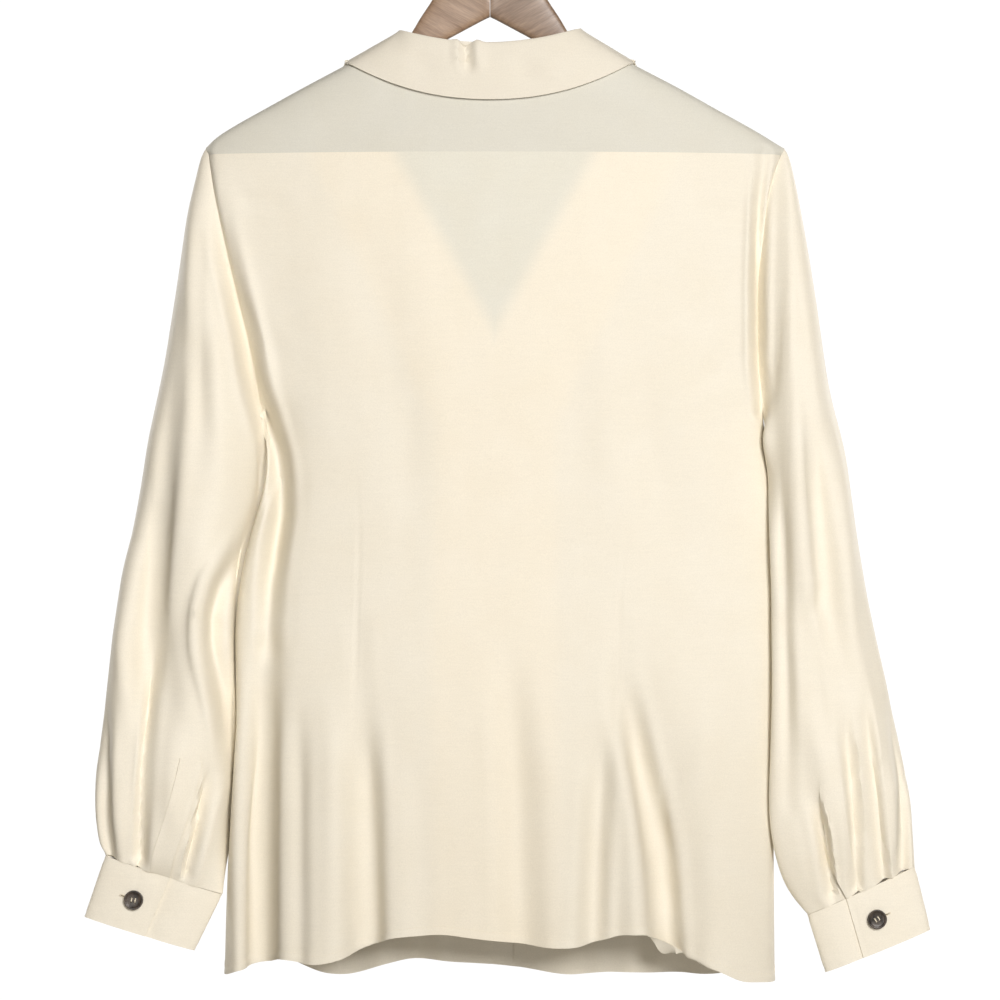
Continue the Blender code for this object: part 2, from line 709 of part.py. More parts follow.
# ------------------------------------------------------------------ hanger
ARM_HALF_THICK = 6 * MM
ARM_BEVEL = 2.2 * MM
ARM_CLEARANCE = 4 * MM           # the arm's top edge below the shoulder ridge
ARM_UNDER_Z, ARM_UNDER_SLOPE = -116 * MM, 0.536
ARM_END = 214 * MM
MITRE_HALF_GAP = 0.15 * MM
WIRE_RADIUS = 2 * MM
HOOK_RADIUS = 24 * MM            # of the wire's centre line; its inside top is the origin
STEM_FOOT_Z = -61.6 * MM

# upper outline of the hanger's neck: half width and height
NECK_OUTLINE = ((0, -62), (14, -65), (26, -74), (35, -86), (42, -98), (48, -108), (56, -119), (66, -128))


def ridge_height(x):
    """Height of the shoulder ridge at a place across."""
    low, high = SHOULDER_Z, NECK_Z
    for _ in range(30):
        middle = (low + high) / 2
        if body(middle, side_of(x)) > abs(x):
            low = middle
        else:
            high = middle
    return low


def arm_top(x):
    if x < 0.066:
        return read(NECK_OUTLINE, ("x", "z"), "x", x, "z")
    return ridge_height(x) - ARM_CLEARANCE


def arm_section(x, sign):
    """Bevelled rectangle across an arm at a place along it."""
    top, under = arm_top(x), ARM_UNDER_Z - ARM_UNDER_SLOPE * x
    middle = sweep(x, SHOULDER_Z)
    t, b = ARM_HALF_THICK, ARM_BEVEL
    outline = (
        (-t, under + b), (-t, top - b), (-t + b, top), (t - b, top),
        (t, top - b), (t, under + b), (t - b, under), (-t + b, under),
    )
    return [Vector((sign * x, middle + y, z)) for y, z in outline]


def make_arm(side, wood):
    """Half of the hanger, mitred against the other half under the hook."""
    sign = sign_of(side)
    places = [MITRE_HALF_GAP] + [x * MM for x in (14, 26, 35, 42, 48, 56, 66, 84, 110, 140, 170, 195, 208)]
    sections = [arm_section(x, sign) for x in places]
    end = arm_section(ARM_END - 1.5 * MM, sign)
    middle = sum(end, Vector()) / len(end)
    sections.append([point.lerp(middle, 0.25) for point in end])
    shape = bmesh.new()
    rings = [[shape.verts.new(point) for point in section] for section in sections]
    for one, two in zip(rings, rings[1:]):
        for k in range(len(one)):
            shape.faces.new((one[k - 1], one[k], two[k], two[k - 1]))
    shape.faces.new(rings[0])
    tip = shape.verts.new(middle + Vector((sign * 1.5 * MM, 0, 0)))
    for k in range(len(rings[-1])):
        shape.faces.new((rings[-1][k - 1], rings[-1][k], tip))
    bmesh.ops.recalc_face_normals(shape, faces=shape.faces)
    mesh = bpy.data.meshes.new("hanger_arm_" + side)
    shape.to_mesh(mesh)
    shape.free()
    mesh_object("hanger_arm_" + side, mesh, wood)


def make_hook(steel):
    """Bent wire: a short stem, a swing out to one side and an open arc over the rail."""
    centre_z = WIRE_RADIUS - HOOK_RADIUS
    route = [(0, STEM_FOOT_Z / MM), (0, -58), (0.6, -54), (3.5, -50), (8, -46.5)]
    route = [(x * MM, z * MM) for x, z in route]
    first, end, step = -50, 195, 14
    for k in range(int((end - first) / step) + 1):
        angle = math.radians(first + k * step)
        route.append((HOOK_RADIUS * math.cos(angle), centre_z + HOOK_RADIUS * math.sin(angle)))
    wire = bpy.data.curves.new("hanger_hook", "CURVE")
    wire.dimensions = "3D"
    wire.bevel_depth = WIRE_RADIUS
    wire.bevel_resolution = 2
    wire.use_fill_caps = True
    spline = wire.splines.new("POLY")
    spline.points.add(len(route) - 1)
    for point, (x, z) in zip(spline.points, route):
        point.co = (x, 0, z, 1)
    hook = bpy.data.objects.new("hanger_hook", wire)
    bpy.context.scene.collection.objects.link(hook)
    wire.materials.append(steel)


# ------------------------------------------------------------------ the whole garment
def main():
    for thing in list(bpy.data.objects):
        bpy.data.objects.remove(thing)
    silk = finish("silk", (0.9, 0.85, 0.73), 0.55)
    horn = finish("button", (0.05, 0.038, 0.028), 0.32)
    wood = finish("hanger_wood", (0.42, 0.27, 0.18), 0.5)
    steel = finish("hanger_steel", (0.62, 0.61, 0.6), 0.25, 1.0)
    make_yoke(silk)
    make_back(silk)
    make_collar(silk)
    for side in ("left", "right"):
        make_front(side, silk)
        make_sleeve(side, silk)
        make_cuff(side, silk)
        make_arm(side, wood)
    make_buttons(horn)
    make_hook(steel)


main()
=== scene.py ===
import json
import math

import bmesh
import bpy
import numpy as np
from mathutils import Matrix, Vector, noise
from mathutils.bvhtree import BVHTree
from mathutils.kdtree import KDTree

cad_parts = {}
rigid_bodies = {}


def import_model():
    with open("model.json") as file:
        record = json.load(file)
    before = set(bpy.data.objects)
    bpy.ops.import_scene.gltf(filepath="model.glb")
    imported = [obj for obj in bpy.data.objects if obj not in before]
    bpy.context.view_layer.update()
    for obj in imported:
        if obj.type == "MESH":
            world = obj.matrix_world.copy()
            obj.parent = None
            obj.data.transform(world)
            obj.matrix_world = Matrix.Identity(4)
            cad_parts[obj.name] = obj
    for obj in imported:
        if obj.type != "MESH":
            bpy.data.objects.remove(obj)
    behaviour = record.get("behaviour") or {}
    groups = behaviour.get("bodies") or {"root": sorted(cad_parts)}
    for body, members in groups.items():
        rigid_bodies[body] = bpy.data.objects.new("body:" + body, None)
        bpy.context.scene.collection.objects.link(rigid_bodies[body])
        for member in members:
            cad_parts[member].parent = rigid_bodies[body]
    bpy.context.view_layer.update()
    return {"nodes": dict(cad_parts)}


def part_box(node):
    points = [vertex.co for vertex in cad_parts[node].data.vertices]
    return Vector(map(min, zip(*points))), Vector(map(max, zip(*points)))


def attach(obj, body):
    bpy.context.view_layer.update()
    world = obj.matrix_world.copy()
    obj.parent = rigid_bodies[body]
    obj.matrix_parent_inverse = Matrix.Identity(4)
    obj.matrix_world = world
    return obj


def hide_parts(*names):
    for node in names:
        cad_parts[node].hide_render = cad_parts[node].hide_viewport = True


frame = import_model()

MM = 0.001


# ------------------------------------------------------------------ panels
# The blouse is cut as a yoke, a back, two fronts and two sleeves of one layer of silk crepe. Each
# panel is its solid's outer wall, made smooth, and neighbours are drawn together along their seams.
SILK_THICK = 0.45 * MM
HEM_WIDTH = 6.5 * MM
CAD_WALL = 1.0 * MM
WELD = 2e-5  # points of a CAD mesh closer than this are one
LONGEST_EDGE = 12 * MM  # a longer step between edge points is a jump from one edge to another
CREASE_HEIGHT, CREASE_REACH, CREASE_PASSES = -425 * MM, 24 * MM, 240


def choose(*things):
    """Only these objects are selected, and the first is active."""
    if bpy.context.mode != "OBJECT":
        bpy.ops.object.mode_set(mode="OBJECT")
    bpy.ops.object.select_all(action="DESELECT")
    for thing in things:
        thing.select_set(True)
    bpy.context.view_layer.objects.active = things[0]


def put_in(name, data):
    """A new object in the scene that carries some data."""
    piece = bpy.data.objects.new(name, data)
    bpy.context.scene.collection.objects.link(piece)
    return piece


def node_copy(name, node):
    """A copy of a CAD node, left in edit mode with all selected and its doubled points joined."""
    piece = put_in(name, frame["nodes"][node].data.copy())
    piece.data.materials.clear()
    choose(piece)
    bpy.ops.mesh.customdata_custom_splitnormals_clear()
    bpy.ops.object.mode_set(mode="EDIT")
    bpy.ops.mesh.select_all(action="SELECT")
    bpy.ops.mesh.remove_doubles(threshold=WELD)
    bpy.ops.mesh.mark_sharp(clear=True)
    return piece


def outer_wall(name, node, towards, wall=CAD_WALL):
    """A copy of one wall of a cloth solid, as an open sheet of quads: the wall that faces a direction."""
    piece = node_copy(name, node)
    bpy.ops.mesh.select_all(action="DESELECT")
    shape = bmesh.from_edit_mesh(piece.data)
    for face in shape.faces:
        across_wall = any(abs(edge.calc_length() - wall) < 0.001 * wall for edge in face.edges)
        face.select_set(across_wall)
    bmesh.update_edit_mesh(piece.data)
    bpy.ops.mesh.delete(type="FACE")
    shape = bmesh.from_edit_mesh(piece.data)
    facing = [face for face in shape.faces if face.normal.dot(towards) > 0.8]
    seed = max(facing, key=lambda face: face.calc_center_median().dot(towards))
    seed.select_set(True)
    bmesh.update_edit_mesh(piece.data)
    bpy.ops.mesh.select_linked()
    bpy.ops.mesh.select_all(action="INVERT")
    bpy.ops.mesh.delete(type="FACE")
    bpy.ops.mesh.select_all(action="SELECT")
    bpy.ops.mesh.tris_convert_to_quads(face_threshold=math.radians(70), shape_threshold=math.radians(70))
    bpy.ops.object.mode_set(mode="OBJECT")
    bpy.ops.object.shade_smooth()
    return piece


def subdivide(piece, levels):
    choose(piece)
    modifier = piece.modifiers.new("smooth", "SUBSURF")
    modifier.levels = modifier.render_levels = levels
    modifier.boundary_smooth = "PRESERVE_CORNERS"
    bpy.ops.object.modifier_apply(modifier=modifier.name)


def read_points(piece, what="co"):
    values = np.empty(len(piece.data.vertices) * 3)
    piece.data.vertices.foreach_get(what, values)
    return values.reshape(-1, 3)


def write_points(piece, points):
    piece.data.vertices.foreach_set("co", np.ascontiguousarray(points).reshape(-1))
    piece.data.update()


def smooth_through(piece, levels):
    """Subdivides a sheet so that the smooth sheet still passes through the points it had."""
    wanted = read_points(piece)
    control = wanted.copy()
    for _ in range(2):
        trial = put_in("trial", piece.data.copy())
        subdivide(trial, 1)
        control += wanted - read_points(trial)[: len(wanted)]
        write_points(piece, control)
        bpy.data.objects.remove(trial)
    subdivide(piece, levels)


def edge_points(piece, wanted=lambda middle, way: True):
    """The points of a sheet's free edges whose middle and direction are wanted."""
    shape = bmesh.new()
    shape.from_mesh(piece.data)
    ends = {}
    for edge in (edge for edge in shape.edges if edge.is_boundary):
        first, last = (vert.co for vert in edge.verts)
        if wanted((first + last) / 2, (last - first).normalized()):
            ends.update({tuple(end): end.copy() for end in (first, last)})
    shape.free()
    return list(ends.values())


def tree_of(ends):
    tree = KDTree(len(ends))
    for number, end in enumerate(ends):
        tree.insert(end, number)
    tree.balance()
    return tree


def draw_together(pieces, reach=2.8 * MM, soft=9 * MM):
    """Moves the edges of neighbouring sheets to the middle of the gap between them."""
    edges, ways = {}, {}
    for name, piece in pieces.items():
        shape = bmesh.new()
        shape.from_mesh(piece.data)
        edges[name] = [vert.co.copy() for vert in shape.verts if vert.is_boundary]
        ways[name] = []
        for vert in (vert for vert in shape.verts if vert.is_boundary):
            beside = [edge.other_vert(vert).co for edge in vert.link_edges if edge.is_boundary]
            ways[name].append((beside[0] - beside[-1]).normalized())
        shape.free()
    trees = {name: tree_of(ends) for name, ends in edges.items()}
    for name, piece in pieces.items():
        moves = []
        for end, way in zip(edges[name], ways[name]):
            near = [trees[other].find(end) for other in pieces if other != name]
            found = [place for place, _, away in near if away < reach]
            move = sum(((place - end) for place in found), Vector()) / (len(found) + 1)
            moves.append(move - way * move.dot(way))
        for vert in piece.data.vertices:
            _, number, away = trees[name].find(vert.co)
            if away < soft:
                vert.co += moves[number] * (1 - float(ease(away / soft)))


def distance_to(piece, ends):
    """How far each point of a piece is from the nearest of some points."""
    tree = tree_of(ends)
    return np.array([tree.find(vert.co)[2] for vert in piece.data.vertices])


def ease(values):
    share = np.clip(values, 0, 1)
    return share * share * (3 - 2 * share)


def fold_depth(x, z, folds):
    """How far folds sink the cloth at places across and up it. All is in millimetres."""
    total = np.zeros_like(x)
    for half, deep, top, low, line in folds:
        line = np.array(line, float)
        lengths = np.hypot(*(line[1:] - line[:-1]).T)
        near, along, gone = np.full_like(x, 1e9), np.zeros_like(x), 0.0
        side = np.zeros_like(x)
        for start, end, length in zip(line, line[1:], lengths):
            way = (end - start) / length
            run = np.clip((x - start[0]) * way[0] + (z - start[1]) * way[1], 0, length)
            off = np.hypot(x - start[0] - way[0] * run, z - start[1] - way[1] * run)
            closer = off < near
            near = np.where(closer, off, near)
            along = np.where(closer, (gone + run) / lengths.sum(), along)
            turned = (x - start[0]) * -way[1] + (z - start[1]) * way[0]
            side = np.where(closer, turned, side)
            gone += length
        halves = half if isinstance(half, tuple) else (half, half)
        u = near / np.where(side > 0, halves[0], halves[1])
        across = np.exp(-u * u) - 0.22 * np.exp(-2 * (u - 1.9) ** 2)
        ends = (top + (1 - top) * ease(along / 0.35)) * (low + (1 - low) * ease((1 - along) / 0.35))
        total += deep * across * ends
    return total


def ripple(points, seed, size=0.45):
    """The slight unevenness of hanging silk, longer down the cloth than across it, in millimetres."""
    waves = []
    for x, y, z in points:
        broad = noise.noise(Vector((x * 30 + seed, y * 30, z * 7)))
        fine = noise.noise(Vector((x * 85, y * 60 + seed, z * 30)))
        waves.append(broad + 0.4 * fine)
    return size * np.array(waves)


def press(piece, folds, face, held_edges, seed, ripple_size=0.45, hold=12 * MM):
    """Moves a sheet's points along their normals into its folds, on its back (1) or front (-1) side."""
    points, normals = read_points(piece), read_points(piece, "normal")
    sunk = fold_depth(points[:, 0] / MM, points[:, 2] / MM, folds)
    side = ease((normals[:, 1] * face + 0.25) / 0.5)
    loose = ease(distance_to(piece, held_edges) / hold) if held_edges else 1.0
    out = (ripple(points, seed, ripple_size) - sunk * side) * loose * MM
    write_points(piece, points + normals * out[:, None])


def sink(piece, folds):
    """Pulls both sheets beside a seam into folds that run along it, by the same depth."""
    points = read_points(piece)
    behind = ease((points[:, 1] / MM + 10) / 10)
    points[:, 1] -= fold_depth(points[:, 0] / MM, points[:, 2] / MM, folds) * behind * MM
    write_points(piece, points)


def soften(piece, height, reach, repeats):
    """Smooths out a crease that runs across a sheet at a height, but not its edges."""
    points = read_points(piece)
    inside = ease(distance_to(piece, edge_points(piece)) / (8 * MM))
    share = np.exp(-(((points[:, 2] - height) / reach) ** 2)) * inside
    group = piece.vertex_groups.new(name="creased")
    for number, weight in enumerate(share):
        if weight > 0.02:
            group.add([number], float(weight), "REPLACE")
    choose(piece)
    modifier = piece.modifiers.new("soft", "SMOOTH")
    modifier.factor, modifier.iterations, modifier.vertex_group = 0.5, repeats, group.name
    bpy.ops.object.modifier_apply(modifier=modifier.name)
    piece.vertex_groups.clear()


def turn_hem(piece, hem_edge, seed, width=HEM_WIDTH, rise=0.3):
    """A narrow hem turned up and stitched: a raised band with a slightly puckered line above it."""
    points, normals = read_points(piece), read_points(piece, "normal")
    up = distance_to(piece, hem_edge) / width
    pucker = [noise.noise(Vector((x * 190, y * 190, seed))) for x, y, z in points]
    band = rise * ease((1.12 - up) / 0.24)
    groove = -(0.22 + 0.5 * np.array(pucker)) * np.exp(-((up - 1) / 0.28) ** 2)
    write_points(piece, points + normals * ((band + groove) * MM)[:, None])


def turn_in_seams(piece, loose_edge=lambda middle, way: False, depth=2.6 * MM):
    """Seam allowances: every edge that isn't loose turns inwards, so that no light shows at a seam."""
    shape = bmesh.new()
    shape.from_mesh(piece.data)
    normals = {tuple(vert.co): vert.normal.copy() for vert in shape.verts}
    edges = []
    for edge in (edge for edge in shape.edges if edge.is_boundary):
        first, last = (vert.co for vert in edge.verts)
        if not loose_edge((first + last) / 2, (last - first).normalized()):
            edges.append(edge)
    made = bmesh.ops.extrude_edge_only(shape, edges=edges)
    for vert in (part for part in made["geom"] if isinstance(part, bmesh.types.BMVert)):
        vert.co -= normals[tuple(vert.co)] * depth
    shape.to_mesh(piece.data)
    shape.free()


def give_thickness(piece, thick=SILK_THICK):
    choose(piece)
    wall = piece.modifiers.new("wall", "SOLIDIFY")
    wall.thickness = thick
    wall.offset = -1
    bpy.ops.object.modifier_apply(modifier=wall.name)
    bpy.ops.object.shade_smooth_by_angle(angle=math.radians(50))


# a stitch's six corners are its two ends, its two sides, its top and its bottom
STITCH_FACES = (
    (0, 2, 4), (2, 1, 4), (1, 3, 4), (3, 0, 4), (2, 0, 5), (1, 2, 5), (3, 1, 5), (0, 3, 5),
)


def sew(name, on, line, thread, pitch=2.7 * MM, length=1.9 * MM, thick=0.17 * MM):
    """A row of stitches lying on a piece, a pitch apart along a line of points close to it."""
    shape = bmesh.new()
    shape.from_mesh(on.data)
    surface = BVHTree.FromBMesh(shape)
    shape.free()
    verts, faces, left = [], [], 0.0
    for start, end in zip(line, line[1:]):
        run = (end - start).length
        if run > LONGEST_EDGE:
            continue
        while left < run:
            place, normal, _, _ = surface.find_nearest(start.lerp(end, left / run))
            left += pitch
            along = (end - start).normalized()
            across = normal.cross(along).normalized()
            centre, first = place + normal * 0.1 * MM, len(verts)
            verts += [centre + along * length / 2, centre - along * length / 2]
            verts += [centre + across * thick, centre - across * thick]
            verts += [centre + normal * thick, centre - normal * thick]
            faces += [tuple(first + corner for corner in face) for face in STITCH_FACES]
        left -= run
    mesh = bpy.data.meshes.new(name)
    mesh.from_pydata([tuple(vert) for vert in verts], [], faces)
    row = put_in(name, mesh)
    mesh.materials.append(thread)
    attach(row, "root")
    return row


def take_over(piece, node, finish):
    """A piece with its finish, which rides on the body in place of a CAD node."""
    piece.data.materials.append(finish)
    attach(piece, "root")
    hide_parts(node)


def new_group(name, inputs, outputs):
    """An empty shader node group with named sockets: its tree, and its input and output nodes."""
    tree = bpy.data.node_groups.new(name, "ShaderNodeTree")
    for socket, kind, value in inputs:
        tree.interface.new_socket(socket, in_out="INPUT", socket_type=kind).default_value = value
    for socket, kind in outputs:
        tree.interface.new_socket(socket, in_out="OUTPUT", socket_type=kind)
    return tree, tree.nodes.new("NodeGroupInput"), tree.nodes.new("NodeGroupOutput")


def feed(tree, socket, value):
    """Gives an input socket a plain value, or a link from another socket."""
    if hasattr(value, "is_linked"):
        tree.links.new(value, socket)
    else:
        socket.default_value = value


def set_node(tree, node, **settings):
    """Sets a node's inputs, whose keys start with in_, and its own properties."""
    for key, value in settings.items():
        if key.startswith("in_"):
            socket = int(key[3:]) if key[3:].isdigit() else key[3:].replace("_", " ")
            feed(tree, node.inputs[socket], value)
        else:
            setattr(node, key, value)
    return node


def add_node(tree, kind, **settings):
    return set_node(tree, tree.nodes.new("ShaderNode" + kind), **settings)


def object_place(tree):
    return add_node(tree, "TexCoord").outputs["Object"]


def noise_of(tree, place, **settings):
    return add_node(tree, "TexNoise", in_Vector=place, **settings).outputs["Fac"]


def mapped(tree, place, **settings):
    return add_node(tree, "Mapping", in_Vector=place, **settings).outputs[0]


def ranged(tree, value, low, high, at_low, at_high):
    """A value taken from one range to another, and held at its ends."""
    node = add_node(tree, "MapRange", in_0=value, in_1=low, in_2=high, in_3=at_low, in_4=at_high)
    return node.outputs[0]


def new_material(name):
    """A material, its node tree and its shader."""
    material = bpy.data.materials.new(name)
    material.use_nodes = True
    return material, material.node_tree, material.node_tree.nodes["Principled BSDF"]


def tone_ramp(tree, value, low, dark, high, light):
    """A colour ramp from a dark tone at a low value to a light one at a high value."""
    ramp = add_node(tree, "ValToRGB", in_Fac=value)
    for end, place, tone in zip(ramp.color_ramp.elements, (low, high), (dark, light)):
        end.position, end.color = place, tone
    return ramp.outputs["Color"]


def mix_colour(tree, share, first, second, blend="MIX"):
    """A colour mix: share, first and second are sockets or plain values."""
    mix = add_node(tree, "Mix", data_type="RGBA", blend_type=blend)
    return set_node(tree, mix, in_0=share, in_6=first, in_7=second).outputs[2]


# Crepe weave: a fine grain of twisted yarns, thin slubs across the cloth and a broad soft mottle.
weave, weave_in, weave_out = new_group(
    "crepe_weave",
    (("Colour", "NodeSocketColor", (0.8, 0.76, 0.66, 1)), ("Shade", "NodeSocketColor", (0.7, 0.64, 0.5, 1)),
     ("Grain", "NodeSocketFloat", 1.0)),
    (("Colour", "NodeSocketColor"), ("Roughness", "NodeSocketFloat"), ("Height", "NodeSocketFloat")),
)
place = object_place(weave)
yarn = noise_of(weave, place, in_Scale=1100, in_Detail=2, in_Roughness=0.6)
slub_place = mapped(weave, place, in_Scale=(60, 60, 800))
slub = noise_of(weave, slub_place, in_Scale=1, in_Detail=3, in_Roughness=0.55)
mottle = noise_of(weave, place, in_Scale=26, in_Detail=4, in_Roughness=0.6)
share = ranged(weave, mottle, 0.3, 0.75, 0.0, 0.55)
toned = mix_colour(weave, share, weave_in.outputs["Colour"], weave_in.outputs["Shade"])
grain = add_node(weave, "Math", operation="MULTIPLY_ADD", in_0=slub, in_1=0.3, in_2=yarn).outputs[0]
fleck = ranged(weave, grain, 0.4, 0.9, 0.95, 1.04)
height = add_node(weave, "Math", operation="MULTIPLY", in_0=grain, in_1=weave_in.outputs["Grain"])
set_node(
    weave, weave_out, in_Colour=mix_colour(weave, 1.0, toned, fleck, "MULTIPLY"),
    in_Roughness=ranged(weave, grain, 0.4, 0.9, 0.56, 0.72), in_Height=height.outputs[0],
)

SILK_CREAM, SILK_SHADE = (0.875, 0.82, 0.7, 1), (0.845, 0.778, 0.64, 1)


def silk_finish(name, colour=SILK_CREAM, shade=SILK_SHADE, grain=1.0):
    """Cream silk crepe: soft sheen, low gloss, fine grain."""
    material, tree, shader = new_material(name)
    cloth = add_node(tree, "Group", node_tree=weave, in_Grain=grain, in_Colour=colour, in_Shade=shade)
    bump = add_node(tree, "Bump", in_Strength=0.35, in_Distance=0.12 * MM, in_Height=cloth.outputs["Height"])
    set_node(
        tree, shader, in_Base_Color=cloth.outputs["Colour"], in_Roughness=cloth.outputs["Roughness"],
        in_Sheen_Weight=0.03, in_Sheen_Roughness=0.45, in_Normal=bump.outputs["Normal"],
    )
    shader.inputs["Specular IOR Level"].default_value = 0.25
    return material


# Painted show-through: the open neckline's V and the facings' edges, both about the centre line, are painted
# as they show faintly through one layer of silk. Painted shade of the shoulders darkens the yoke, and
# painted shade darkens the cloth towards its hem.
CENTRE_LINE = -3.5 * MM
V_POINT, V_SLOPE, V_BLUR = -362 * MM, 0.56, 10 * MM
FACING_SLOPE, FACING_AT_TOP, FACING_LEAST, FACING_BLUR = 0.46, 247 * MM, 48 * MM, 9 * MM
LOW_FROM, LOW_TO = 560 * MM, 840 * MM
WHITE = (1, 1, 1, 1)
# painted tones: the V and the single layer darker and the facings lighter as painted show-through; the yoke
# and the hem as painted shade
PAINTED_V_SHOW_THROUGH, PAINTED_YOKE_SHADE, PAINTED_HEM_SHADE = (0.875, 0.905, 0.925, 1), (0.80, 0.83, 0.86, 1), (0.93, 0.925, 0.915, 1)
PAINTED_ONE_LAYER_SHADE, PAINTED_FACING_LIGHT = (0.975, 0.977, 0.98, 1), (1.0, 0.99, 0.975, 1)
show, show_in, show_out = new_group(
    "painted_show_through",
    (("Colour", "NodeSocketColor", (0.8, 0.76, 0.66, 1)), ("Yoke", "NodeSocketFloat", 0.0)),
    (("Colour", "NodeSocketColor"),),
)


def formula(tree, operation, *values):
    """One Math node over sockets or numbers."""
    node = add_node(tree, "Math", operation=operation)
    for socket, value in zip(node.inputs, values):
        feed(tree, socket, value)
    return node.outputs[0]


def soft_step(tree, value, low, high):
    """0 below low and 1 above high, with a smooth change between."""
    node = add_node(tree, "MapRange", interpolation_type="SMOOTHSTEP")
    return set_node(tree, node, in_0=value, in_1=low, in_2=high).outputs[0]


axes = add_node(show, "SeparateXYZ", in_0=object_place(show))
across, up = axes.outputs[0], axes.outputs[2]
off_centre = formula(show, "ABSOLUTE", formula(show, "SUBTRACT", across, CENTRE_LINE))
neck_edge = formula(show, "MULTIPLY", formula(show, "SUBTRACT", up, V_POINT), V_SLOPE)
in_neck = soft_step(show, formula(show, "SUBTRACT", neck_edge, off_centre), -V_BLUR, V_BLUR)
facing_edge = formula(show, "MULTIPLY_ADD", up, FACING_SLOPE, FACING_AT_TOP)
facing_edge = formula(show, "MAXIMUM", facing_edge, FACING_LEAST)
in_facing = soft_step(
    show, formula(show, "SUBTRACT", facing_edge, off_centre), -FACING_BLUR, FACING_BLUR
)
painted_layer_tone = mix_colour(show, in_facing, PAINTED_ONE_LAYER_SHADE, PAINTED_FACING_LIGHT)
# painted shade: the cloth darker towards the hem
painted_hem_shade_share = soft_step(show, formula(show, "MULTIPLY", up, -1.0), LOW_FROM, LOW_TO)
painted_hem_shade = mix_colour(show, painted_hem_shade_share, WHITE, PAINTED_HEM_SHADE)
painted_layer_tone = mix_colour(show, 1.0, painted_layer_tone, painted_hem_shade, "MULTIPLY")
painted_neck_tone = mix_colour(show, in_neck, painted_layer_tone, PAINTED_V_SHOW_THROUGH)
# painted shade of the shoulders over the yoke
painted_yoke_tone = mix_colour(show, show_in.outputs["Yoke"], painted_neck_tone, PAINTED_YOKE_SHADE)
shown = mix_colour(show, 1.0, show_in.outputs["Colour"], painted_yoke_tone, "MULTIPLY")
set_node(show, show_out, in_Colour=shown)

silk = silk_finish("silk")
through_silks = []
for name, painted_yoke_shade_share in (("back_silk", 0.0), ("yoke_silk_painted_shade", 1.0)):
    made = silk_finish(name)
    tree = made.node_tree
    plain = tree.nodes["Group"].outputs["Colour"]
    through = add_node(tree, "Group", node_tree=show, in_Yoke=painted_yoke_shade_share, in_Colour=plain)
    set_node(tree, tree.nodes["Principled BSDF"], in_Base_Color=through.outputs["Colour"])
    through_silks.append(made)
back_silk, yoke_silk_painted_shade = through_silks
thread = silk_finish("thread", (0.8, 0.73, 0.58, 1), (0.74, 0.66, 0.5, 1), 2.0)

panels = {}
for node, towards in (
    ("back", (0, 1, 0)), ("yoke", (0, 1, 0)), ("front_left", (0, -1, 0)), ("front_right", (0, -1, 0)),
    ("sleeve_left", (0, 1, 0)), ("sleeve_right", (0, 1, 0)),
):
    panels[node] = outer_wall("blouse_" + node, node, Vector(towards))
    smooth_through(panels[node], 3)
draw_together(panels)
for node in ("back", "front_left", "front_right"):
    soften(panels[node], CREASE_HEIGHT, CREASE_REACH, CREASE_PASSES)


# ------------------------------------------------------------------ back
# The back has an arched hem. It is sewn to the yoke along its top, to the sleeves at its armholes
# and to the fronts down its sides, and two stitched darts shape its waist.

# Each fold is (half width, depth, how much is left at its upper end, at its lower end, line); a
# negative depth stands out, and two half widths are for its two sides. Lines are (across, up), and
# all is in millimetres.
BACK_FOLDS = (
    # the broad trough beside the left side seam, and a narrow one next to it
    ((8, 11), 14.0, 0.2, 0.9, ((176, -610), (180, -700), (181, -760), (180, -862))),
    (6, -1.6, 0, 0.8, ((156, -650), (155, -740), (155, -862))),
    (6, 2.4, 0, 0.8, ((149, -640), (148, -740), (148, -862))),
    # folds that fall from the waist to the hem
    (14, -2.4, 0, 1, ((122, -610), (123, -720), (120, -862))),
    ((13, 8), 8.0, 0, 0.9, ((97, -648), (94, -740), (92, -840))),
    (10, -2.0, 0, 1, ((72, -680), (70, -760), (68, -840))),
    (11, 4.0, 0, 1, ((-14, -590), (-20, -700), (-24, -845))),
    (13, -1.8, 0, 1, ((-46, -640), (-50, -740), (-54, -845))),
    ((9, 6.5), 7.0, 0, 0.7, ((-88, -665), (-84, -740), (-80, -840))),
    (7, -3.2, 0, 1, ((-100, -640), (-106, -720), (-112, -835))),
    ((11, 6.5), 11.0, 0, 0.8, (
        (-98, -612), (-108, -649), (-117, -690), (-127, -730), (-135, -770), (-142, -862),
    )),
    (20, -3.0, 0, 0.6, ((-152, -600), (-170, -720), (-182, -850))),
    # soft drags across the shoulder blades and above the waist
    (16, 1.6, 0, 0, ((120, -250), (84, -330), (64, -440), (58, -560))),
    (18, 2.0, 0, 0, ((-112, -400), (-132, -470), (-152, -560))),
    (15, -1.4, 0, 0, ((-84, -330), (-96, -430), (-98, -520))),
    (20, -1.6, 0, 0, ((150, -260), (128, -380), (118, -520))),
    (9, 1.2, 0, 0, ((196, -330), (176, -372), (150, -392))),
    (8, 1.2, 0, 0, ((-204, -350), (-182, -392), (-150, -410))),
    (6, 0.9, 0, 0, ((204, -250), (186, -262), (150, -262))),
    (6, 0.9, 0, 0, ((-210, -262), (-188, -270), (-150, -266))),
    # the two darts, each a stitched line with a faint hollow at its ends
    (1.3, 0.7, 0, 0, ((105, -455), (101, -520), (103, -600), (106, -690))),
    (1.3, 0.7, 0, 0, ((-106, -500), (-100, -570), (-98, -640), (-92, -720))),
    (7, 1.0, 0, 0, ((104, -560), (101, -620), (98, -680))),
    (7, 1.2, 0, 0, ((-101, -560), (-99, -620), (-95, -670))),
)


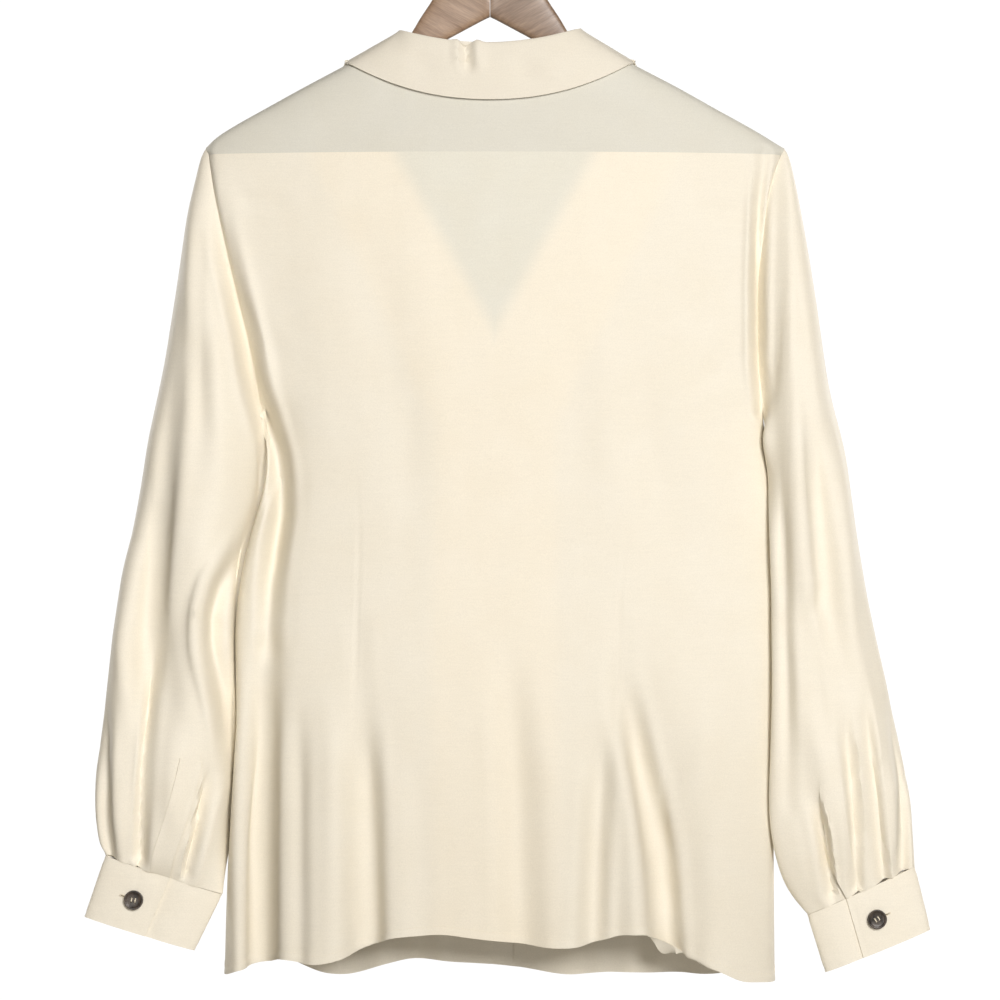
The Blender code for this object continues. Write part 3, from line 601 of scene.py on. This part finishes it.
# grooves along the armhole seams, of which the left one runs on down beside the side seam; the
# panels on both sides of a seam share them
SIDE_GROOVES = (
    (4.5, 12.0, 0.2, 0.4, ((-214, -222), (-210, -262), (-208, -322), (-208, -385), (-212, -425))),
    ((6.5, 6.5), 13.0, 0, 0.3, (
        (217, -246), (208, -290), (198, -330), (188, -372), (181, -408), (173, -434),
        (166, -458), (163, -480), (163, -502), (167, -528), (171, -560), (172, -610),
    )),
)


HEM_TOP, HEM_FROM, HEM_TO = -780 * MM, 30 * MM, 190 * MM
STEEP = 0.7  # the rise of an edge that runs more down than across


def on_hem(middle, way):
    """True for a hem, the low edge of a body panel between its side seam and its centre edge."""
    return middle.z < HEM_TOP and (abs(way.z) < STEEP or HEM_FROM < abs(middle.x) < HEM_TO)


back = panels["back"]
sink(back, SIDE_GROOVES)
back_seams = edge_points(back, lambda middle, way: not on_hem(middle, way))
press(back, BACK_FOLDS, 1, back_seams, 1.0)
back_hem = sorted(edge_points(back, on_hem), key=lambda point: point.x)
turn_hem(back, back_hem, 1.0)
back_stitches = sew("back_hem_stitches", back, [p + Vector((0, 0, HEM_WIDTH)) for p in back_hem], thread)
turn_in_seams(back, on_hem)
give_thickness(back)
take_over(back, "back", back_silk)


# ------------------------------------------------------------------ yoke
# The yoke is one layer of silk from the neckline to the seam across the shoulders. It lies on the
# hanger's arms, and is sewn to the fronts along the shoulder ridges.
YOKE_FOLDS = (
    (10, 0.9, 0, 0, ((60, -186), (96, -200), (150, -214))),
    (12, 0.9, 0, 0, ((-54, -188), (-100, -204), (-160, -216))),
    (9, -0.7, 0, 0, ((20, -196), (60, -212), (110, -219))),
    (10, -0.7, 0, 0, ((-20, -198), (-70, -212), (-120, -219))),
)

yoke = panels["yoke"]
sink(yoke, SIDE_GROOVES)
press(yoke, YOKE_FOLDS, 1, edge_points(yoke), 4.0, 0.25, 8 * MM)
turn_in_seams(yoke)
give_thickness(yoke)
take_over(yoke, "yoke", yoke_silk_painted_shade)


# ------------------------------------------------------------------ fronts
# Two fronts hang from the shoulder ridges. The wearer's right one laps over the left, and a faced
# strip down each centre edge carries the buttons and buttonholes.
FRONT_FOLDS = {
    "left": (
        (12, 3.0, 0, 0.6, ((196, -250), (176, -340), (150, -440), (140, -560), (138, -700))),
        (9, 4.0, 0, 1, ((158, -520), (160, -640), (158, -760), (160, -862))),
        (10, -2.4, 0, 1, ((124, -560), (122, -700), (120, -862))),
        (11, 4.2, 0, 1, ((92, -560), (88, -700), (84, -862))),
        (10, -2.2, 0, 1, ((60, -600), (58, -740), (56, -862))),
        (10, 2.4, 0, 1, ((32, -620), (34, -740), (36, -862))),
        (16, 1.8, 0, 0, ((150, -250), (120, -330), (80, -400), (40, -450))),
        (14, -1.4, 0, 0, ((110, -300), (90, -380), (70, -480))),
        (8, 1.3, 0, 0, ((196, -330), (170, -380), (140, -400))),
    ),
    "right": (
        (12, 2.6, 0, 0.6, ((-202, -260), (-192, -360), (-180, -480), (-174, -600))),
        (10, 3.2, 0, 1, ((-172, -520), (-170, -660), (-172, -862))),
        (12, -2.6, 0, 1, ((-140, -560), (-140, -700), (-142, -862))),
        (11, 4.6, 0, 1, ((-98, -540), (-104, -680), (-112, -862))),
        (10, -2.4, 0, 1, ((-72, -600), (-72, -740), (-74, -862))),
        (9, 2.6, 0, 1, ((-46, -620), (-42, -740), (-40, -862))),
        (16, 1.8, 0, 0, ((-160, -260), (-124, -340), (-84, -410), (-44, -460))),
        (14, -1.4, 0, 0, ((-116, -310), (-96, -400), (-80, -500))),
        (8, 1.3, 0, 0, ((-206, -340), (-178, -392), (-146, -410))),
    ),
}
FACING_WIDTH, EDGE_STITCH = 32 * MM, 3 * MM
CENTRE_TOP, CENTRE_LOW, LAP_HALF = -360 * MM, -858 * MM, 17 * MM

fronts, front_stitches = {}, {}
for side, sign in (("left", 1), ("right", -1)):
    front = panels["front_" + side]
    sink(front, SIDE_GROOVES)
    centre_edge = -sign * LAP_HALF

    def on_centre_edge(middle, way):
        return middle.z < CENTRE_TOP and abs(middle.x - centre_edge) < 4 * MM and abs(way.z) > STEEP

    def loose(middle, way):
        return on_hem(middle, way) or on_centre_edge(middle, way)

    held = edge_points(front, lambda middle, way: not on_hem(middle, way))
    press(front, FRONT_FOLDS[side], -1, held, 7.0 + sign)
    hem_edge = sorted(edge_points(front, on_hem), key=lambda point: point.x)
    turn_hem(front, hem_edge, 5.0 + sign)
    line = [p + Vector((0, 0, HEM_WIDTH)) for p in hem_edge]
    rows = [sew(f"front_hem_stitches_{side}", front, line, thread)]
    down = sorted(edge_points(front, on_centre_edge), key=lambda point: -point.z)
    if side == "right":
        for name, inwards in (("edge", EDGE_STITCH), ("facing", FACING_WIDTH)):
            line = [p + Vector((sign * inwards, 0, 0)) for p in down if p.z > CENTRE_LOW]
            rows.append(sew(f"front_{name}_stitches_{side}", front, line, thread))
    turn_in_seams(front, loose)
    give_thickness(front)
    take_over(front, "front_" + side, silk)
    fronts[side], front_stitches[side] = front, rows


# ------------------------------------------------------------------ collar
# The collar is a doubled leaf folded over at the roll. Its seam edge is sewn round the neckline, and
# its leaf lies on the yoke and tapers down both fronts. The roll is dented where it was pressed.
DOUBLE_THICK = 1.2 * MM
COLLAR_WALL = 1.4 * MM
# the collar's cream is painted a little darker than the other silk: painted shade
COLLAR_CREAM_PAINTED_SHADE, COLLAR_MOTTLE_PAINTED_SHADE = (0.79, 0.74, 0.635, 1), (0.76, 0.7, 0.58, 1)
COLLAR_FOLDS = (
    ((3.2, 5), 4.2, 0.8, 0, ((20, -128), (19, -146), (17, -166))),
    (4, -1.4, 0.6, 0, ((10, -134), (10, -148), (9, -164))),
    (3, -0.9, 0.6, 0, ((27, -134), (26, -148), (25, -160))),
    (8, 0.9, 0, 0, ((-20, -144), (-26, -156), (-30, -176))),
    (9, 0.8, 0, 0, ((60, -140), (52, -154), (46, -172))),
    (9, -0.8, 0, 0, ((-50, -142), (-48, -156), (-46, -172))),
)
COLLAR_FRONT_FOLDS = (
    (9, 0.9, 0, 0, ((96, -180), (102, -206), (98, -236))),
    (9, 0.9, 0, 0, ((-98, -176), (-104, -200), (-100, -232))),
    (8, -0.7, 0, 0, ((76, -236), (66, -262), (50, -286))),
    (8, -0.7, 0, 0, ((-76, -232), (-66, -260), (-50, -288))),
)

collar = outer_wall("blouse_collar", "collar", Vector((0, 1, 0)), COLLAR_WALL)
smooth_through(collar, 3)
press(collar, COLLAR_FOLDS, 1, [], 11.0, 0.25)
press(collar, COLLAR_FRONT_FOLDS, -1, [], 12.0, 0.1)
give_thickness(collar, DOUBLE_THICK)
take_over(collar, "collar", silk_finish("collar_silk_painted_shade", COLLAR_CREAM_PAINTED_SHADE, COLLAR_MOTTLE_PAINTED_SHADE))


# ------------------------------------------------------------------ sleeves
# Each sleeve is one layer of silk sewn in at the armhole and pleated into its cuff. A slit at the
# back of the wrist stands open, with its upper edge bound by a placket strip.
SLEEVE_FOLDS = {
    "left": (
        (9, 4.0, 0, 0.8, (
            (238, -262), (248, -376), (254, -477), (264, -555), (269, -633), (273, -711), (277, -768),
        )),
        (9, -2.4, 0, 0, ((212, -340), (210, -440), (209, -520))),
        (6, 2.0, 0, 0, ((225, -346), (224, -400), (221, -462))),
        (5, -1.8, 0, 0, ((231, -246), (234, -320), (233, -385))),
        (5.5, -1.6, 0, 0, ((192, -508), (205, -532), (221, -557), (228, -582), (228, -608), (220, -652))),
        ((8, 24), 11.0, 0, 0, ((262, -440), (270, -520), (271, -600), (260, -705))),
        (8, 1.2, 0, 0, ((228, -562), (242, -584), (262, -622))),
        (8, -2.4, 0, 0, ((246, -650), (247, -700), (245, -760))),
        (9, -2.4, 0, 0, ((286, -560), (290, -640), (294, -720))),
        ((2.6, 6), 5.6, 0, 1, ((262, -590), (267, -650), (271, -720), (274.5, -772))),
        ((2.6, 6), 4.8, 0, 1, ((296, -640), (301, -690), (301, -740), (297, -774))),
        (5, -2.0, 0, 0, ((286, -660), (289, -720), (286, -772))),
        ((1.6, 6), 8.0, 0, 0.6, ((217, -697), (226, -735), (238, -782))),
    ),
    "right": (
        (9, 6.0, 0, 0, ((-252, -420), (-255, -480), (-260, -560), (-266, -640))),
        (8, -3.0, 0, 0, ((-234, -400), (-238, -480), (-244, -580))),
        (5, 4.0, 0, 0.3, ((-222, -448), (-226, -520), (-229, -620), (-231, -730))),
        (8, -2.6, 0, 0, ((-264, -400), (-276, -500), (-286, -600))),
        (8, 2.6, 0, 0, ((-242, -560), (-254, -630), (-264, -700))),
        (9, -2.2, 0, 0, ((-250, -650), (-262, -720), (-276, -780))),
        (7, 2.0, 0, 0, ((-232, -600), (-248, -580), (-270, -560))),
        ((6, 2.6), 5.4, 0, 1, ((-274, -650), (-281, -700), (-285, -750), (-287, -794))),
        ((6, 2.6), 5.6, 0, 1, ((-290, -630), (-298, -700), (-303, -750), (-308, -788))),
        ((6, 2.6), 4.8, 0, 1, ((-304, -629), (-315, -660), (-322, -710), (-323, -782))),
        (6, -2.2, 0, 0, ((-311, -690), (-315, -740), (-317, -780))),
        ((6, 1.6), 8.0, 0, 0.6, ((-252, -716), (-260, -748), (-268, -798))),
    ),
}
SLEEVE_FRONT_FOLDS = {
    "left": (
        (9, 3.6, 0, 0.6, ((236, -280), (246, -400), (252, -520), (262, -640), (268, -768))),
        (9, -2.6, 0, 0, ((222, -340), (228, -460), (240, -560))),
        (7, 2.2, 0, 0, ((222, -574), (242, -560), (266, -530))),
        (7, 2.2, 0, 0, ((222, -588), (244, -604), (262, -640))),
        (3.6, 4.2, 0, 1, ((280, -640), (284, -720), (282, -776))),
        (3.6, 3.6, 0, 1, ((250, -680), (250, -740), (254, -786))),
        (4, 3.0, 0, 1, ((228, -700), (226, -750), (232, -792))),
    ),
    "right": (
        (9, 3.6, 0, 0, ((-244, -300), (-252, -420), (-260, -560), (-272, -690))),
        (9, -2.6, 0, 0, ((-232, -360), (-236, -480), (-244, -600))),
        (8, -2.4, 0, 0, ((-262, -340), (-276, -500), (-292, -640))),
        (3.6, 4.2, 0, 1, ((-304, -660), (-312, -740), (-312, -786))),
        (3.6, 3.6, 0, 1, ((-276, -700), (-284, -760), (-288, -798))),
        (4, 3.0, 0, 1, ((-248, -710), (-258, -770), (-266, -806))),
    ),
}
CUFF_SEAM = {"left": ((299.5, -770), (211.5, -800)), "right": ((-330.5, -778.5), (-248, -816))}


ELBOW = -600 * MM


def on_armhole(middle, way):
    return middle.z > ELBOW


def on_slit(middle, way):
    """True for the slit's two edges, which run along the sleeve."""
    return middle.z < ELBOW and abs(way.z) > 0.75


# where the inner side of each sleeve tucks in behind or before the body at the underarm, how far it
# reaches round that place, and how far it moves
UNDERARM_TUCKS = {
    "left": (Vector((178, -16, -441)) * MM, (12, 12, 20), Vector((-11, -8, 0)) * MM),
    "right": (Vector((-217, 3, -445)) * MM, (11, 10, 20), Vector((6.5, 6, 0)) * MM),
}
# the hollow in the left sleeve beside the body's waist, which only its back has
SLEEVE_HOLLOWS = {
    "left": (
        ((5.5, 10), 18, 0, 0.15, (
            (181, -506), (195, -532), (211, -557), (218, -582), (218, -608), (208, -655), (202, -705),
        )),
    ),
    "right": (),
}


def tuck(piece, place, reach, move, held):
    """Moves the cloth round a place, fading out at a distance from it and towards held edges."""
    points = read_points(piece)
    off = (points - np.array(place)) / (np.array(reach) * MM)
    share = np.exp(-(off ** 2).sum(1)) * ease(distance_to(piece, held) / (7 * MM))
    write_points(piece, points + np.array(move) * share[:, None])


for side, sign in (("left", 1), ("right", -1)):
    sleeve = panels["sleeve_" + side]
    sink(sleeve, SIDE_GROOVES)
    armhole = edge_points(sleeve, on_armhole)
    tuck(sleeve, *UNDERARM_TUCKS[side], armhole)
    sink(sleeve, SLEEVE_HOLLOWS[side])
    press(sleeve, SLEEVE_FOLDS[side], 1, armhole, 21.0 + sign)
    press(sleeve, SLEEVE_FRONT_FOLDS[side], -1, armhole, 25.0 + sign, 0.1)
    turn_in_seams(sleeve, on_slit)
    give_thickness(sleeve)
    take_over(sleeve, "sleeve_" + side, silk)


# ------------------------------------------------------------------ placket strips
# A strip of silk is folded over each slit's upper edge and stitched down, with a square top end.
PLACKET_DOWN = 0.95 * MM

for side in ("left", "right"):
    strip = outer_wall("blouse_placket_" + side, "placket_" + side, Vector((0, 1, 0)))
    smooth_through(strip, 4)
    write_points(strip, read_points(strip) - read_points(strip, "normal") * PLACKET_DOWN)
    press(strip, SLEEVE_FOLDS[side], 1, [], 31.0, 0.05)
    give_thickness(strip, 0.8 * MM)
    take_over(strip, "placket_" + side, silk)


# ------------------------------------------------------------------ cuffs
# Each cuff is a doubled band, closed round the wrist with its top end lapped over and buttoned. Its
# long edges are edge-stitched, and the seam under the pleats is a little uneven.
for side, sign in (("left", 1), ("right", -1)):
    cuff = outer_wall("blouse_cuff_" + side, "cuff_" + side, Vector((0, 1, 0)), COLLAR_WALL)
    smooth_through(cuff, 3)
    press(cuff, (), 1, [], 41.0 + sign, 0.3)
    turn_hem(cuff, edge_points(cuff), 43.0 + sign, 3.4 * MM, -0.12)
    give_thickness(cuff, DOUBLE_THICK)
    take_over(cuff, "cuff_" + side, silk)


# ------------------------------------------------------------------ buttons and buttonholes
# Dark brown horn-look buttons with a rim and a dished face, sewn on with pale thread through four
# holes. Each sits over a buttonhole whipped with thread.
BUTTON_RADIUS, BUTTON_HEIGHT = 7.5 * MM, 2.8 * MM
HOLE_RADIUS, HOLE_PITCH = 0.85 * MM, 1.45 * MM
BUTTONHOLE_LENGTH, BUTTONHOLE_HALF = 17 * MM, 1.1 * MM
RIM_STEPS = ((0.35, 0), (0.9, 0), (0.6, -0.55), (2.0, -0.2))  # width and rise, inwards from the rim
BUTTON_TURN = math.radians(8)

horn, tree, shader = new_material("dark_horn")
streak_place = mapped(tree, object_place(tree), in_Scale=(260, 90, 140))
streaks = noise_of(tree, streak_place, in_Scale=1, in_Detail=4, in_Distortion=1.2)
set_node(
    tree, shader, in_Roughness=ranged(tree, streaks, 0.3, 0.7, 0.28, 0.45),
    in_Base_Color=tone_ramp(tree, streaks, 0.35, (0.018, 0.013, 0.01, 1), 0.7, (0.085, 0.06, 0.042, 1)),
    in_Coat_Weight=0.25, in_Coat_Roughness=0.2,
)

bpy.ops.object.select_all(action="DESELECT")
bpy.ops.mesh.primitive_cylinder_add(
    vertices=48, radius=BUTTON_RADIUS, depth=BUTTON_HEIGHT, location=(0, 0, BUTTON_HEIGHT / 2)
)
pattern = bpy.context.object
bpy.ops.object.transform_apply(location=True)


def pick_faces(piece, wanted):
    """In edit mode, selects only the faces that are wanted, by their centre and normal."""
    bpy.ops.mesh.select_all(action="DESELECT")
    bpy.ops.mesh.select_mode(type="FACE")
    shape = bmesh.from_edit_mesh(piece.data)
    for face in shape.faces:
        face.select_set(wanted(face.calc_center_median(), face.normal))
    bmesh.update_edit_mesh(piece.data)


bpy.ops.object.mode_set(mode="EDIT")
pick_faces(pattern, lambda centre, normal: normal.z > 0.9)
for width, rise in RIM_STEPS:
    bpy.ops.mesh.inset(thickness=width * MM, depth=rise * MM)
pick_faces(pattern, lambda centre, normal: normal.z < -0.9)
bpy.ops.mesh.inset(thickness=1.3 * MM, depth=0.25 * MM)
bpy.ops.object.mode_set(mode="OBJECT")
rounding = pattern.modifiers.new("rounding", "BEVEL")
rounding.width, rounding.segments, rounding.limit_method = 0.3 * MM, 3, "ANGLE"
rounding.angle_limit = math.radians(35)
bpy.ops.object.modifier_apply(modifier=rounding.name)
drills = []
for x in (-HOLE_PITCH, HOLE_PITCH):
    for y in (-HOLE_PITCH, HOLE_PITCH):
        bpy.ops.mesh.primitive_cylinder_add(
            vertices=20, radius=HOLE_RADIUS, depth=4 * BUTTON_HEIGHT, location=(x, y, 0)
        )
        drills.append(bpy.context.object)
choose(*drills)
bpy.ops.object.join()
drill = bpy.context.object
choose(pattern)
holes = pattern.modifiers.new("holes", "BOOLEAN")
holes.operation, holes.object = "DIFFERENCE", drill
bpy.ops.object.modifier_apply(modifier=holes.name)
bpy.data.objects.remove(drill)
bpy.ops.object.shade_smooth_by_angle(angle=math.radians(35))
pattern.data.materials.append(horn)

strands = bpy.data.curves.new("button_thread", "CURVE")
strands.dimensions, strands.bevel_depth, strands.bevel_resolution = "3D", 0.2 * MM, 2
strands.use_fill_caps = True
for x in (-HOLE_PITCH, HOLE_PITCH):
    for off in (-0.28, 0.0, 0.28):
        strand = strands.splines.new("POLY")
        strand.points.add(8)
        for number, point in enumerate(strand.points):
            share = number / 8
            rise = BUTTON_HEIGHT - 0.75 * MM + 0.75 * MM * math.sin(math.pi * share) ** 0.6
            point.co = (x + off * MM, (2 * share - 1) * HOLE_PITCH * 1.1, rise, 1)
thread_pattern = put_in("button_thread", strands)
choose(thread_pattern)
bpy.ops.object.convert(target="MESH")
thread_pattern = bpy.context.object
thread_pattern.data.materials.append(thread)

# a buttonhole is a ring of whipped thread round a slit
bpy.ops.object.select_all(action="DESELECT")
bpy.ops.mesh.primitive_torus_add(
    major_segments=56, minor_segments=8, major_radius=BUTTONHOLE_HALF, minor_radius=0.42 * MM
)
hole_pattern = bpy.context.object
spots = read_points(hole_pattern)
stretch = (BUTTONHOLE_LENGTH / 2 - BUTTONHOLE_HALF) * ease(np.abs(spots[:, 0]) / (0.5 * MM))
spots[:, 0] += np.sign(spots[:, 0]) * stretch
spots[:, 1] *= 0.62
spots[:, 2] *= 0.7
write_points(hole_pattern, spots)
bpy.ops.object.shade_smooth()
hole_pattern.data.materials.append(thread)
# the buttonhole's slit is a dark disc: painted shade of its opening
slit_painted_shade = silk_finish("slit_shade", (0.3, 0.24, 0.16, 1), (0.22, 0.17, 0.1, 1), 1.0)
bpy.ops.object.select_all(action="DESELECT")
bpy.ops.mesh.primitive_uv_sphere_add(segments=16, ring_count=8, radius=1)
slit_pattern = bpy.context.object
slit_pattern.scale = (BUTTONHOLE_LENGTH / 2 - 0.6 * MM, 0.42 * MM, 0.16 * MM)
bpy.ops.object.transform_apply(scale=True)
bpy.ops.object.shade_smooth()
slit_pattern.data.materials.append(slit_painted_shade)


def placed_copy(pattern_piece, name, matrix):
    """A copy of a pattern with its own mesh, moved in its mesh so that its object stays at the origin."""
    piece = put_in(name, pattern_piece.data.copy())
    piece.data.transform(matrix)
    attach(piece, "root")
    return piece


def button_place(node, towards, hole_way):
    """A frame at a button's foot: X along its buttonhole and Z out of the cloth."""
    points = read_points(frame["nodes"][node])
    centre = (points.max(0) + points.min(0)) / 2
    normal = Vector(np.linalg.svd(points - points.mean(0), full_matrices=False)[2][2])
    if normal.dot(towards) < 0:
        normal.negate()
    along = (hole_way - normal * hole_way.dot(normal)).normalized()
    turn = Matrix((along, normal.cross(along), normal)).transposed().to_4x4()
    return Matrix.Translation(Vector(centre) - normal * BUTTON_HEIGHT / 2) @ turn


button_places = {f"front_button_{k}": (Vector((0, -1, 0)), Vector((0, 0, 1)), -2 * MM) for k in range(1, 7)}
for side, sign in (("left", 1), ("right", -1)):
    (x0, z0), (x1, z1) = CUFF_SEAM[side]
    button_places["cuff_button_" + side] = (Vector((0, 1, 0)), Vector((x0 - x1, 0, z0 - z1)), 3 * MM)
for node, (towards, hole_way, shift) in button_places.items():
    stand = button_place(node, towards, hole_way)
    turned_stand = stand @ Matrix.Rotation(BUTTON_TURN, 4, "Z")
    button = placed_copy(pattern, "horn_" + node, turned_stand)
    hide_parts(node)
    placed_copy(thread_pattern, "thread_" + node, turned_stand)
    low = stand @ Matrix.Translation((shift, 0, -0.42 * MM))
    placed_copy(hole_pattern, "whipping_" + node, low)
    placed_copy(slit_pattern, "slit_" + node, low)
for thing in (pattern, thread_pattern, hole_pattern, slit_pattern):
    bpy.data.objects.remove(thing)


# ------------------------------------------------------------------ hanger
# Two beech arms, stained brown and lacquered, are mitred under the hook and glued. Their edges are
# rounded, and the grain runs along each arm.
def wood_finish(name, slope, tone):
    """Stained beech whose grain runs down the arm at a slope, its colour scaled by tone, which paints shade
    where it is below one.
    """
    material, tree, shader = new_material(name)
    turned = mapped(tree, object_place(tree), in_Rotation=(0, slope, 0))
    long = mapped(tree, turned, in_Scale=(14, 170, 170))
    rings = noise_of(tree, long, in_Scale=1, in_Detail=5, in_Roughness=0.6, in_Distortion=0.6)
    pores = noise_of(tree, mapped(tree, turned, in_Scale=(110, 1500, 1500)), in_Scale=1, in_Detail=2)
    dark = (0.24 * tone, 0.145 * tone, 0.088 * tone, 1)
    light = (0.42 * tone, 0.285 * tone, 0.19 * tone, 1)
    stained = tone_ramp(tree, rings, 0.3, dark, 0.72, light)
    in_pores = ranged(tree, pores, 0.42, 0.6, 0.35, 0.0)
    bump = add_node(tree, "Bump", in_Strength=0.3, in_Distance=0.15 * MM, in_Height=pores)
    set_node(
        tree, shader, in_Base_Color=mix_colour(tree, in_pores, stained, (0.5, 0.5, 0.5, 1), "MULTIPLY"),
        in_Roughness=ranged(tree, rings, 0.3, 0.7, 0.52, 0.38), in_Normal=bump.outputs["Normal"],
        in_Coat_Weight=0.2, in_Coat_Roughness=0.3,
    )
    return material


MITRE_NEAR = 0.5 * MM
# the right arm's colour is scaled to 0.8 of the left's: painted shade
for side, sign, tone in (("left", 1, 1.0), ("right", -1, 0.8)):
    arm = node_copy("wooden_arm_" + side, "hanger_arm_" + side)
    bpy.ops.mesh.tris_convert_to_quads(face_threshold=math.radians(50), shape_threshold=math.radians(70))
    pick_faces(arm, lambda centre, normal: abs(centre.x) < MITRE_NEAR)
    bpy.ops.mesh.dissolve_faces()
    bpy.ops.mesh.inset(thickness=0.4 * MM)
    bpy.ops.object.mode_set(mode="OBJECT")
    creases = arm.data.attributes.new("crease_edge", "FLOAT", "EDGE")
    for edge in arm.data.edges:
        if all(abs(arm.data.vertices[end].co.x) < MITRE_NEAR for end in edge.vertices):
            creases.data[edge.index].value = 0.9
    subdivide(arm, 2)
    bpy.ops.object.shade_smooth_by_angle(angle=math.radians(40))
    finish = wood_finish("stained_beech_" + side, sign * math.radians(30), tone)
    take_over(arm, "hanger_arm_" + side, finish)

# The hook is a bent steel wire with a short stem in the wood. It takes a clothes rail.
WIRE_RADIUS, HOOK_RADIUS = 2 * MM, 24 * MM
steel, tree, shader = new_material("polished_wire")
scuffs = noise_of(tree, object_place(tree), in_Scale=420, in_Detail=4, in_Roughness=0.7)
set_node(
    tree, shader, in_Metallic=1.0, in_Roughness=ranged(tree, scuffs, 0.35, 0.7, 0.16, 0.34),
    in_Base_Color=tone_ramp(tree, scuffs, 0.35, (0.5, 0.49, 0.47, 1), 0.65, (0.68, 0.67, 0.66, 1)),
)

hook_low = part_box("hanger_hook")[0]
wire = bpy.data.curves.new("wire_hook", "CURVE")
wire.dimensions, wire.bevel_depth, wire.bevel_resolution = "3D", WIRE_RADIUS, 5
wire.use_fill_caps = True
route = [(0, hook_low.z), (0, -58 * MM), (0.6 * MM, -54 * MM), (3.5 * MM, -50 * MM), (8 * MM, -46.5 * MM)]
for k in range(50):
    angle = math.radians(-50 + 5 * k)
    route.append((HOOK_RADIUS * math.cos(angle), WIRE_RADIUS - HOOK_RADIUS + HOOK_RADIUS * math.sin(angle)))
line = wire.splines.new("POLY")
line.points.add(len(route) - 1)
for point, (x, z) in zip(line.points, route):
    point.co = (x, 0, z, 1)
hook = put_in("wire_hook", wire)
choose(hook)
bpy.ops.object.convert(target="MESH")
hook = bpy.context.object
bpy.ops.object.shade_smooth_by_angle(angle=math.radians(50))
take_over(hook, "hanger_hook", steel)


# ------------------------------------------------------------------ studio
# A plain pale floor well below the blouse, and four softboxes: the main one high on the right behind
# the blouse, a small one low behind it, and one on each side of its front. The camera sees the floor
# and the surround as white.
FLOOR_Z, FLOOR_GLOW, SEEN_WHITE = -1.25, 0.06, 1.05
SURROUND_TINT, SURROUND_GLOW = (1, 0.9, 0.76, 1), 0.14
AIM = Vector((0, 0, -0.42))


def show_to_camera(tree, seen, lit, output):
    """The camera sees one shader, and all other rays the other."""
    to_camera = add_node(tree, "LightPath").outputs["Is Camera Ray"]
    either = add_node(tree, "MixShader", in_0=to_camera)
    tree.links.new(lit.outputs[0], either.inputs[1])
    tree.links.new(seen.outputs[0], either.inputs[2])
    tree.links.new(either.outputs[0], tree.nodes[output].inputs["Surface"])


bpy.ops.object.select_all(action="DESELECT")
bpy.ops.mesh.primitive_plane_add(size=60, location=(0, 0, FLOOR_Z))
floor = bpy.context.object
floor.name = "studio_floor"
pale, tree, shader = new_material("pale_floor")
cloudy = noise_of(tree, object_place(tree), in_Scale=3, in_Detail=2)
set_node(
    tree, shader, in_Base_Color=tone_ramp(tree, cloudy, 0, (0.3, 0.275, 0.235, 1), 1, (0.34, 0.315, 0.27, 1)),
    in_Roughness=0.8, in_Emission_Strength=FLOOR_GLOW, in_Emission_Color=WHITE,
)
seen = add_node(tree, "Emission", in_Color=WHITE, in_Strength=SEEN_WHITE)
show_to_camera(tree, seen, shader, "Material Output")
floor.data.materials.append(pale)

studio = bpy.data.worlds.new("studio")
bpy.context.scene.world = studio
studio.use_nodes = True
tree = studio.node_tree
surround = tree.nodes["Background"]
set_node(tree, surround, in_Color=SURROUND_TINT, in_Strength=SURROUND_GLOW)
bright = add_node(tree, "Background", in_Color=WHITE, in_Strength=SEEN_WHITE)
show_to_camera(tree, bright, surround, "World Output")


def soft_light(name, place, size, power, tint=(1, 1, 1)):
    """A square softbox that looks at the middle of the blouse."""
    lamp = bpy.data.lights.new(name, "AREA")
    lamp.size, lamp.energy, lamp.color = size, power, tint
    light = put_in(name, lamp)
    light.location = place
    light.rotation_mode = "QUATERNION"
    light.rotation_quaternion = (AIM - Vector(place)).to_track_quat("-Z", "Y")


soft_light("softbox_right", (-1.3, 4.5, 1.0), 1.6, 206, (1, 0.985, 0.975))
soft_light("softbox_low", (0.9, 4.6, -0.95), 1.4, 24, (1, 0.98, 0.95))
soft_light("softbox_front_left", (3.6, -4.2, 0.8), 2.4, 170)
soft_light("softbox_front_right", (-3.6, -4.2, 0.8), 2.4, 170)

CAMERA_DISTANCE, CAMERA_ACROSS, CAMERA_UP, VIEW_WIDTH, SENSOR = 3.0, -0.0078, -0.493, 0.780, 36
camera_data = bpy.data.cameras.new("camera")
camera_data.sensor_width = SENSOR
camera_data.lens = SENSOR * CAMERA_DISTANCE / VIEW_WIDTH
camera = put_in("camera", camera_data)
camera.location = (CAMERA_ACROSS, CAMERA_DISTANCE, CAMERA_UP)
camera.rotation_euler = (math.radians(90), 0, math.radians(180))
bpy.context.scene.camera = camera
bpy.context.scene.view_settings.view_transform = "Standard"
